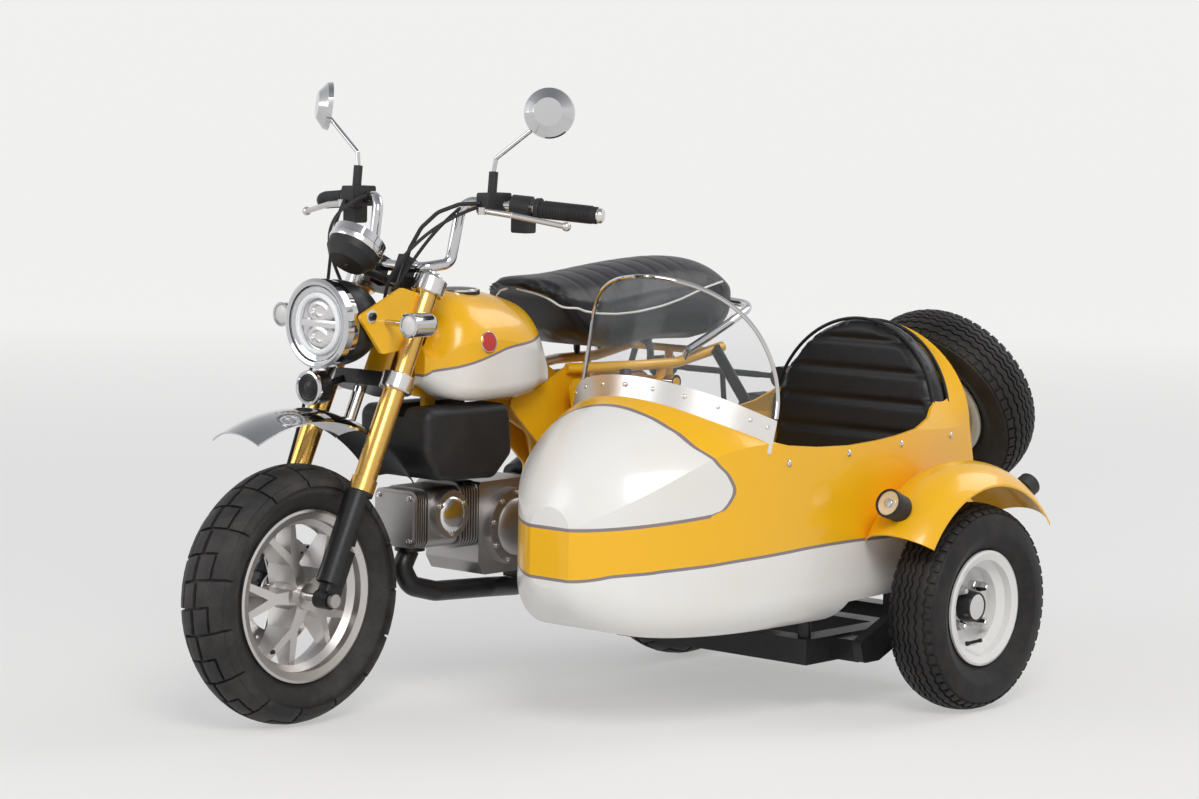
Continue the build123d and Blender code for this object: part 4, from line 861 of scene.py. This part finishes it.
class SIDECAR_OT_lamps(bpy.types.Operator):
    """Adds the headlamp's light ring and bar, the signals' lenses and the fender lamps"""

    bl_idname = "sidecar.lamps"
    bl_label = "Lamps"

    def execute(self, context):
        face = facing(spot(1071, 0, 758), ahead)
        bowl = [(0, -1), (69, -1), (70.4, 22), (66, 21), (52, 12), (30, 6), (0, 5)]
        turned("headlamp_bowl", bowl, 64, "fork", "chrome", face)
        glow = ring((50, 14), (58, 14), (59, 22), (56, 25), (52, 25), (49, 22))
        turned("headlamp_ring", glow, 64, "fork", "lamp_white", face)
        shelf = box("headlamp_bar", (104, 15, 13), 3)
        shelf.data.transform(Matrix.Translation((0, 0, 13 * mm)))
        lobes = [shelf]
        for s in both:
            lobe = lathe("lobe", [(0, 4), (31, 4), (33, 12), (25, 19), (18, 20), (14, 12), (0, 10)], 40)
            lobe.data.transform(Matrix.Diagonal((1.15, 0.72, 1, 1)))
            lobe.data.transform(Matrix.Translation((0, s * 24 * mm, 0)))
            lobes.append(lobe)
        reflector = join("headlamp_reflector", *lobes)
        reflector.data.transform(face)
        dressed(reflector, "fork", "polished_alloy")

        signal_side, signal_height = 173, 762
        fronts = [facing(spot(1020, signal_side * s, signal_height), ahead) for s in both]
        backs = [facing(spot(972, signal_side * s, signal_height), behind) for s in both]
        bezel = ring((19, -1), (23.6, -1), (24, 3), (21.5, 4.5), (19.6, 3))
        shell = [(23, -1), (23, 0), (20, 8), (12, 14), (0, 16), (0, -1)]
        turned("front_signal_lenses", domed(19.5, 6), 32, "fork", "signal_lens", *fronts)
        turned("signal_bezels", bezel, 32, "fork", "chrome", *fronts)
        turned("signal_backs", shell, 32, "fork", "chrome", *backs)

        aim = Vector((0.93, 0, 0.36))
        face = facing(spot(306, 783, 420) + aim.normalized() * 20.2 * mm, aim)
        pan = [(0, 0), (24, 0), (24, 1.2), (14, 0.8), (0, 0.8)]
        bezel = ring((24, -12), (28.4, -12), (29, 1), (27.5, 4.5), (24.6, 4))
        core = [(0, 1), (8, 1), (9, 4), (5, 6.5), (0, 7)]
        turned("fender_lamp_lens", domed(24, 11), 32, "chassis", "lens", face)
        turned("fender_lamp_pan", pan, 40, "chassis", "polished_alloy", face)
        turned("fender_lamp_bezel", bezel, 40, "chassis", "black_plastic", face)
        turned("fender_lamp_core", core, 24, "chassis", "chrome", face)

        aim = Vector((-0.9, 0, 0.4))
        face = facing(spot(-112, 800, 424) + aim.normalized() * 15.2 * mm, aim)
        turned("fender_tail_lens", domed(20, 8), 32, "chassis", "red_lens", face)
        turned("tail_lens", domed(38, 9), 40, "chassis", "red_lens", facing(spot(-270, 0, 505), behind))
        rears = [facing(spot(-148, 171 * s, 600), behind) for s in both]
        turned("rear_signal_lenses", domed(20, 7), 32, "chassis", "amber_glass", *rears)
        return {"FINISHED"}


class SIDECAR_OT_instruments(bpy.types.Operator):
    """Adds the meter's face, the horn's rim and dish, and the mirrors' glass"""

    bl_idname = "sidecar.instruments"
    bl_label = "Instruments"

    def execute(self, context):
        meter = facing(spot(1000, 0, 893), (-0.62, 0, 0.79))
        dial = [(0, 17), (45.6, 17), (45.6, 20), (43, 20.5), (42, 19), (0, 19)]
        glass = [(0, 26), (45.6, 24), (45.6, 22.5), (0, 24.5)]
        collar = ring((52, 4), (53.6, 4), (55, 8), (55, 15), (53, 16.5), (52, 16))
        turned("meter_face", dial, 64, "fork", "dial_black", meter)
        turned("meter_glass", glass, 64, "fork", "lens", meter)
        turned("meter_collar", collar, 64, "fork", "polished_alloy", meter)

        horn = facing(spot(1075, -40, 632), ahead)
        rim = ring((26, -6), (33, -6), (34.5, -1), (33, 3), (29, 4), (26.5, 2))
        dish = [
            (0, -1), (26, -1), (26, 1), (23, 2.5), (20, 1), (17, 2.8), (14, 1), (10, 3.2), (7, 4.6), (0, 5),
        ]
        turned("horn_rim", rim, 48, "fork", "chrome", horn)
        turned("horn_dish", dish, 48, "fork", "black_metal", horn)

        mirrors = []
        for s in both:
            front = Vector((0.78, 0.58 * s, 0.10)).normalized()
            mirrors.append(facing(spot(788, 306 * s, 1164) - front * 8.8 * mm, -front))
        glass = [(0, -1.2), (44, -1.2), (44, 0.2), (0, 0.8)]
        turned("mirror_glass", glass, 56, "fork", "chrome", *mirrors)
        return {"FINISHED"}


# Tank trim and piping


class SIDECAR_OT_tank_trim(bpy.types.Operator):
    """Adds the bare round boss on each side of the tank, and the filler cap with its ring"""

    bl_idname = "sidecar.tank_trim"
    bl_label = "Tank trim"

    def execute(self, context):
        bosses = [facing(spot(738, 111.5 * s, 713), (0.10, s, 0.16)) for s in both]
        disc = [(0, -4), (18.5, -4), (18.5, 2.2), (12, 3.0), (0, 3.3)]
        rim = ring((18.3, -4), (21, -4), (21, 2.4), (20, 3.2), (18.9, 3.2), (18.3, 2.2))
        turned("tank_bosses", disc, 40, "chassis", "red_paint", *bosses)
        turned("tank_boss_rims", rim, 40, "chassis", "chrome", *bosses)

        filler = Matrix.Translation(spot(710, 0, 800))
        cap = [(0, 7), (36, 7), (38, 8.8), (37, 11), (30, 12.4), (12, 13.6), (0, 13.8)]
        rim = ring((38, 6), (43.6, 6), (43.6, 9.6), (42, 11), (40, 11), (38.4, 9.4))
        turned("filler_cap", cap, 56, "chassis", "black_metal", filler)
        turned("filler_ring", rim, 56, "chassis", "polished_alloy", filler)
        return {"FINISHED"}


class SIDECAR_OT_piping(bpy.types.Operator):
    """Runs the saddle's white piping and the backrest's black welts"""

    bl_idname = "sidecar.piping"
    bl_label = "Piping"

    def execute(self, context):
        saddle = bpy.data.objects["saddle_pad"]
        line = [
            (548, 12, 812), (536, 44, 802), (516, 72, 788), (494, 98, 774), (466, 121, 762),
            (430, 126, 756), (380, 130, 753), (322, 132, 755), (242, 132, 764), (178, 131, 776),
            (126, 130, 790), (70, 128, 803), (20, 122, 812),
        ]
        piping_lift = 1.6
        for s, name in ((1, "saddle_piping_left"), (-1, "saddle_piping_right")):
            route = [spot(x, y * s, z) for x, y, z in line]
            route = [a.lerp(b, i / 4) for a, b in zip(route, route[1:]) for i in range(4)] + route[-1:]
            points = []
            for point in route:
                found, place, normal, face = saddle.closest_point_on_mesh(point)
                points.append(place + normal * piping_lift * mm)
            rod(name, points, 2.4, "chassis", "piping_white")

        side, shoulder, crown = 206.0, 180, 374
        arch = arc_through((side, shoulder), (0, crown), (-side, shoulder), 16)
        outline = [(side - 6, 4), (side - 3, 90), (side, shoulder), *arch[1:-1]]
        outline += [(-side, shoulder), (3 - side, 90), (6 - side, 4)]
        for name, depth in (("backrest_welt", 1.0), ("backrest_rear_welt", -50.0)):
            points = [
                back_foot + (Vector(left) * across + back_up * up + back_front * depth) * mm
                for across, up in outline
            ]
            rod(name, points, 3.6, "chassis", "vinyl")
        return {"FINISHED"}


# Forks, bars, wheels and engine


def fork_point(height, side):
    """A point on a fork leg, that far up from the axle."""
    return spot(1155 - math.sin(rake) * height, side, 248 + math.cos(rake) * height)


class SIDECAR_OT_front_end(bpy.types.Operator):
    """Adds the fork's clamps, caps and seals, the grips' ribs, the bar ends, cables and stay bolts"""

    bl_idname = "sidecar.front_end"
    bl_label = "Front end"

    def legs(self, *heights):
        return [facing(fork_point(height, 92 * s), steer_axis) for s in both for height in heights]

    def bars(self, *distances):
        """Places along both grips, at distances from where the handlebar's straight ends begin."""
        places = []
        for s in both:
            way = Vector((-0.362, 0.929 * s, -0.071)).normalized()
            places += [facing(spot(819, 113 * s, 990) + way * mm * far, way) for far in distances]
        return places

    def execute(self, context):
        clamp = ring((21.8, -16.4), (29.5, -16.4), (32, -14), (32, 14), (29.5, 16.4), (21.8, 16.4))
        cap = [(0, 0), (23, 0), (23.5, 4), (21, 9), (12, 10), (12, 15), (0, 15.5)]
        seal = ring((15.4, -6), (24.5, -6), (25, 0), (23.5, 4), (15.4, 5))
        turned("fork_clamps", clamp, 48, "fork", "polished_alloy", *self.legs(438, 638))
        turned("fork_caps", cap, 40, "fork", "polished_alloy", *self.legs(651))
        turned("fork_seals", seal, 40, "fork", "rubber", *self.legs(216))

        rib = ring((16.2, -1.4), (17.8, -0.7), (17.8, 0.7), (16.2, 1.4))
        flange = ring((11.5, -2), (21, -2), (22, 0), (21, 2), (11.5, 2))
        end = [(0, 0), (13, 0), (14.5, 3), (14.5, 9), (12, 13), (5, 14), (0, 14)]
        first_rib, rib_pitch, rib_count = 172, 5.2, 19
        ribs = self.bars(*[first_rib + rib_pitch * i for i in range(rib_count)])
        turned("grip_ribs", rib, 28, "fork", "rubber", *ribs)
        turned("grip_flanges", flange, 36, "fork", "rubber", *self.bars(161))
        turned("bar_ends", end, 32, "fork", "polished_alloy", *self.bars(277))

        stays = [facing(spot(1040, 92 * s, 775), (0, s, 0)) for s in both]
        washer = ring((4, -1), (13, -1), (13, 1.6), (11, 2.4), (4, 2.4))
        bolt = [(0, 2), (8.5, 2), (8.5, 7), (7.5, 8), (4.6, 8), (4.2, 5), (0, 5)]
        turned("stay_washers", washer, 32, "fork", "polished_alloy", *stays)
        turned("stay_bolts", bolt, 6, "fork", "black_metal", *stays)

        for name, points in (
            ("throttle_cable", [
                (818, -150, 990), (880, -150, 975), (960, -120, 930), (985, -70, 860), (965, -40, 790),
                (945, -30, 740),
            ]),
            ("clutch_cable_outer", [
                (846, 178, 980), (905, 158, 962), (975, 122, 905), (985, 70, 835), (962, 44, 775),
                (945, 34, 740),
            ]),
            ("switch_lead", [
                (826, 118, 978), (880, 112, 945), (930, 92, 880), (955, 60, 815), (948, 40, 760),
            ]),
            ("brake_hose", [
                (846, -182, 980), (905, -150, 940), (975, -90, 860), (1012, -62, 780), (1030, -74, 700),
                (1050, -84, 560), (1110, -86, 420), (1135, -84, 340),
            ]),
        ):
            rod(name, [spot(*point) for point in points], 3.4, "fork", "rubber")
        button = box("kill_switch", (12, 10, 7), 1.5)
        button.data.transform(Matrix.Translation(spot(782, -214, 1006)))
        dressed(button, "fork", "red_paint")
        return {"FINISHED"}


class SIDECAR_OT_wheel_parts(bpy.types.Operator):
    """Adds the tyre valves, the sidecar wheel's nuts and its hub cap's band"""

    bl_idname = "sidecar.wheel_parts"
    bl_label = "Wheel parts"

    def execute(self, context):
        turn = math.radians(-58)
        outward = Vector((math.cos(turn), 0, math.sin(turn)))
        for name, body, centre, radius, side, tip in (
            ("front_valve", "front_wheel", front_axle, 128, 0, 24),
            ("rear_valve", "rear_wheel", rear_axle, 128, 0, 24),
            ("sidecar_valve", "sidecar_wheel", side_axle, 80, 30, 34),
        ):
            foot = centre + (outward * radius + Vector(left) * side) * mm
            stem = [
                (0, 0), (4.6, 0), (5, 3), (3.4, 8), (3.2, tip - 7), (4, tip - 6), (4, tip), (0, tip + 0.5),
            ]
            turned(name, stem, 16, body, "rubber", facing(foot, Vector(left) - outward * 0.4))

        places, stud_circle = [], 50
        for i in range(4):
            a = math.tau * (i + 0.5) / 4
            out = Vector((stud_circle * math.cos(a), -3, stud_circle * math.sin(a)))
            places.append(facing(side_axle + out * mm, left))
        nut = [(0, 0), (10.5, 0), (10.5, 14), (8.6, 16.5), (8, 22), (5, 26.6), (0, 28)]
        turned("sidecar_wheel_nuts", nut, 6, "sidecar_wheel", "chrome", *places)
        band = ring((31.6, -3.5), (32.8, -3.5), (29.4, 23), (28.2, 24.8), (25, 25), (25, 24.1), (27.8, 24))
        turned("sidecar_hub_band", band, 56, "sidecar_wheel", "black_metal", facing(side_axle, left))
        return {"FINISHED"}


class SIDECAR_OT_engine_parts(bpy.types.Operator):
    """Adds the engine's bolts and its round covers"""

    bl_idname = "sidecar.engine_parts"
    bl_label = "Engine parts"

    def execute(self, context):
        places = []
        for count, x, y, z, radius, start in (
            (9, 622, 88, 338, 68, 0.2),
            (10, 600, -104, 338, 78, 0.0),
            (3, 796, 76, 376, 38, 0.5),
        ):
            for i in range(count):
                a = math.tau * i / count + start
                point = spot(x + radius * math.cos(a), y, z + radius * math.sin(a))
                places.append(facing(point, (0, math.copysign(1, y), 0)))
        places += [facing(spot(880, y, z), ahead) for y in (-42, 42) for z in (326, 410)]
        bolt = [(0, 0), (5.5, 0), (5.5, 1), (4.4, 1.4), (4.2, 5), (2.2, 5.4), (0, 4.4)]
        cover = [(0, 0), (56, 0), (57, 2), (50, 8), (30, 12), (10, 12.5), (0, 12.5)]
        cap = [(0, 0), (34, 0), (35, 2), (31, 6), (18, 9), (0, 9.5)]
        turned("engine_bolts", bolt, 12, "chassis", "polished_alloy", *places)
        turned("engine_cover_left", cover, 56, "chassis", "engine_metal", facing(spot(622, 88, 338), left))
        turned("camshaft_cover", cap, 48, "chassis", "polished_alloy", facing(spot(796, 76, 376), left))
        return {"FINISHED"}


# Stage


class SIDECAR_OT_finishes(bpy.types.Operator):
    """Gives every node of the frame its finish"""

    bl_idname = "sidecar.finishes"
    bl_label = "Finishes"

    def execute(self, context):
        make_finishes()
        for finish, names in wears.items():
            for name in names.split():
                node = nodes[name]
                node.data.materials.clear()
                node.data.materials.append(finishes[finish])
                choose(node)
                bpy.ops.object.shade_smooth_by_angle(angle=math.radians(32))
        return {"FINISHED"}


def set_camera(scene, lens):
    """Places the camera where the photo was taken from, as solved from points on the motorcycle."""
    camera = bpy.data.objects.new("camera", bpy.data.cameras.new("camera"))
    scene.collection.objects.link(camera)
    camera.data.lens, camera.data.sensor_width, camera.data.clip_end = lens, 36, 200
    look = Vector((-0.74716, -0.65733, -0.09832))
    above = Vector((-0.06219, -0.07814, 0.99500))
    right = look.cross(above).normalized()
    above = right.cross(look).normalized()
    turn = Matrix((right, above, -look.normalized())).transposed().to_4x4()
    camera.matrix_world = Matrix.Translation(spot(5575.83, 4658.76, 1259.92)) @ turn
    scene.camera = camera


def lay_floor():
    """A wide round floor whose rim curves up, so that no horizon shows."""
    deselect()
    bpy.ops.mesh.primitive_circle_add(vertices=96, radius=17, fill_type="NGON", location=(0, 0, 0))
    floor = bpy.context.object
    floor.name = floor.data.name = "studio_floor"
    bpy.ops.object.mode_set(mode="EDIT")
    bpy.ops.mesh.select_all(action="SELECT")
    for grow, rise in ((1.12, 0.25), (1.09, 0.8), (1.05, 1.5), (1.02, 2.5)):
        bpy.ops.mesh.select_mode(type="EDGE")
        mesh = bmesh.from_edit_mesh(floor.data)
        rim = [edge for edge in mesh.edges if len(edge.link_faces) == 1]
        bpy.ops.mesh.select_all(action="DESELECT")
        for edge in rim:
            edge.select_set(True)
        bmesh.update_edit_mesh(floor.data)
        bpy.ops.mesh.extrude_edges_move(TRANSFORM_OT_translate={"value": (0, 0, rise)})
        bpy.ops.transform.resize(value=(grow, grow, 1), center_override=(0, 0, 0))
    bpy.ops.object.mode_set(mode="OBJECT")
    bpy.ops.object.shade_smooth()
    ground = Finish("studio_floor", **{"Metallic": 0.0, "IOR": 1.3})
    cloudy = ground.noise(0.7, 3)
    ground.set("Base Color", ground.blend(cloudy * 0.3, (0.80, 0.795, 0.79), (0.74, 0.735, 0.73)))
    ground.set("Roughness", 0.7 + cloudy * 0.1)
    east, north, height = ground.place()
    full_glow_at = 9000
    far = ((east * east + north * north).root() / full_glow_at).least(1)
    glow = ground.add("Emission", None, {"Color": (0.93, 0.925, 0.92)})
    share = ground.seen() * (0.42 + far * 0.5)
    mix = ground.add("MixShader", None, {0: share, 1: ground.shader.outputs[0], 2: glow.outputs[0]})
    ground.feed(ground.output.inputs[0], mix.outputs[0])
    floor.data.materials.append(ground.material)


def hang_lamps(scene, key_power):
    """Three soft lamps that face the part: key, fill and back."""
    target = Vector((0, 0, 0.5))
    for name, place, size, power, tint in (
        ("key_lamp", (3.2, 3.6, 4.2), 2.4, key_power, (1, 0.985, 0.96)),
        ("fill_lamp", (5.0, -3.0, 3.0), 3.0, key_power * 0.42, (0.97, 0.985, 1)),
        ("back_lamp", (-4.0, 1.5, 4.5), 3.0, key_power * 0.5, (1, 1, 1)),
    ):
        lamp = bpy.data.objects.new(name, bpy.data.lights.new(name, "AREA"))
        scene.collection.objects.link(lamp)
        lamp.data.shape, lamp.data.size, lamp.data.energy, lamp.data.color = "SQUARE", size, power, tint
        lamp.location = place
        lamp.rotation_mode = "QUATERNION"
        lamp.rotation_quaternion = (target - Vector(place)).to_track_quat("-Z", "Y")


def paint_sky(scene, sky):
    """A pale sky that darkens overhead, at full strength to the camera and in mirrors only."""
    scene.world = bpy.data.worlds.new("studio_sky")
    heaven = Nodes(scene.world)
    where = heaven.add("TexCoord").outputs["Generated"]
    height = heaven.add("SeparateXYZ", None, {0: where}).outputs[2]
    bands = (0.30, (0.93, 0.93, 0.93)), (0.55, (0.62, 0.63, 0.65)), (1.0, (0.30, 0.31, 0.33))
    strength = sky + heaven.seen() * (1 - sky)
    light = heaven.add("Background", None, {"Color": heaven.ramp(height, *bands), "Strength": strength})
    heaven.add("OutputWorld", None, {0: light.outputs[0]})


class SIDECAR_OT_stage(bpy.types.Operator):
    """Sets the camera, the pale floor, the soft lamps and the sky"""

    bl_idname = "sidecar.stage"
    bl_label = "Stage"

    def execute(self, context):
        scene = context.scene
        sizes = scene.sidecar_sizes
        set_camera(scene, sizes.lens)
        lay_floor()
        hang_lamps(scene, sizes.key_power)
        paint_sky(scene, sizes.sky)
        scene.view_settings.view_transform = "Standard"
        return {"FINISHED"}


class SidecarSizes(bpy.types.PropertyGroup):
    """The sizes and levels that a user would change"""

    tread_depth: bpy.props.FloatProperty(
        name="Tread depth", description="Height of the road tyres' blocks", default=0.0062, min=0.001,
        max=0.01, unit="LENGTH",
    )
    pad_swell: bpy.props.FloatProperty(
        name="Pad swell", description="How far the padding may push the vinyl out", default=0.009, min=0.0,
        max=0.02, unit="LENGTH",
    )
    lens: bpy.props.FloatProperty(
        name="Lens", description="Focal length of the camera", default=102.53, unit="CAMERA",
    )
    key_power: bpy.props.FloatProperty(
        name="Key lamp", description="Power of the main soft lamp", default=190.0, unit="POWER",
    )
    sky: bpy.props.FloatProperty(
        name="Sky", description="Strength of the light from the sky", default=0.62, subtype="FACTOR",
    )


steps = (
    ("finishes", SIDECAR_OT_finishes),
    ("stage", SIDECAR_OT_stage),
    ("tyres", SIDECAR_OT_tyres),
    ("pads", SIDECAR_OT_pads),
    ("piping", SIDECAR_OT_piping),
    ("screen_trim", SIDECAR_OT_screen_trim),
    ("lamps", SIDECAR_OT_lamps),
    ("instruments", SIDECAR_OT_instruments),
    ("tank_trim", SIDECAR_OT_tank_trim),
    ("front_end", SIDECAR_OT_front_end),
    ("wheel_parts", SIDECAR_OT_wheel_parts),
    ("engine_parts", SIDECAR_OT_engine_parts),
)


class SIDECAR_PT_panel(bpy.types.Panel):
    """Lists the steps that dress the motorcycle"""

    bl_idname = "SIDECAR_PT_panel"
    bl_label = "Sidecar Motorcycle"
    bl_space_type = "VIEW_3D"
    bl_region_type = "UI"
    bl_category = "Sidecar"

    def draw(self, context):
        for name in SidecarSizes.__annotations__:
            self.layout.prop(context.scene.sidecar_sizes, name)
        for name, step in steps:
            self.layout.operator(step.bl_idname)


classes = (SidecarSizes, *[step for name, step in steps], SIDECAR_PT_panel)


def register():
    for one in classes:
        bpy.utils.register_class(one)
    bpy.types.Scene.sidecar_sizes = bpy.props.PointerProperty(type=SidecarSizes)


def unregister():
    del bpy.types.Scene.sidecar_sizes
    for one in reversed(classes):
        bpy.utils.unregister_class(one)


def main():
    register()
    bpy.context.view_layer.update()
    for name, step in steps:
        getattr(bpy.ops.sidecar, name)()


if __name__ == "__main__":
    main()
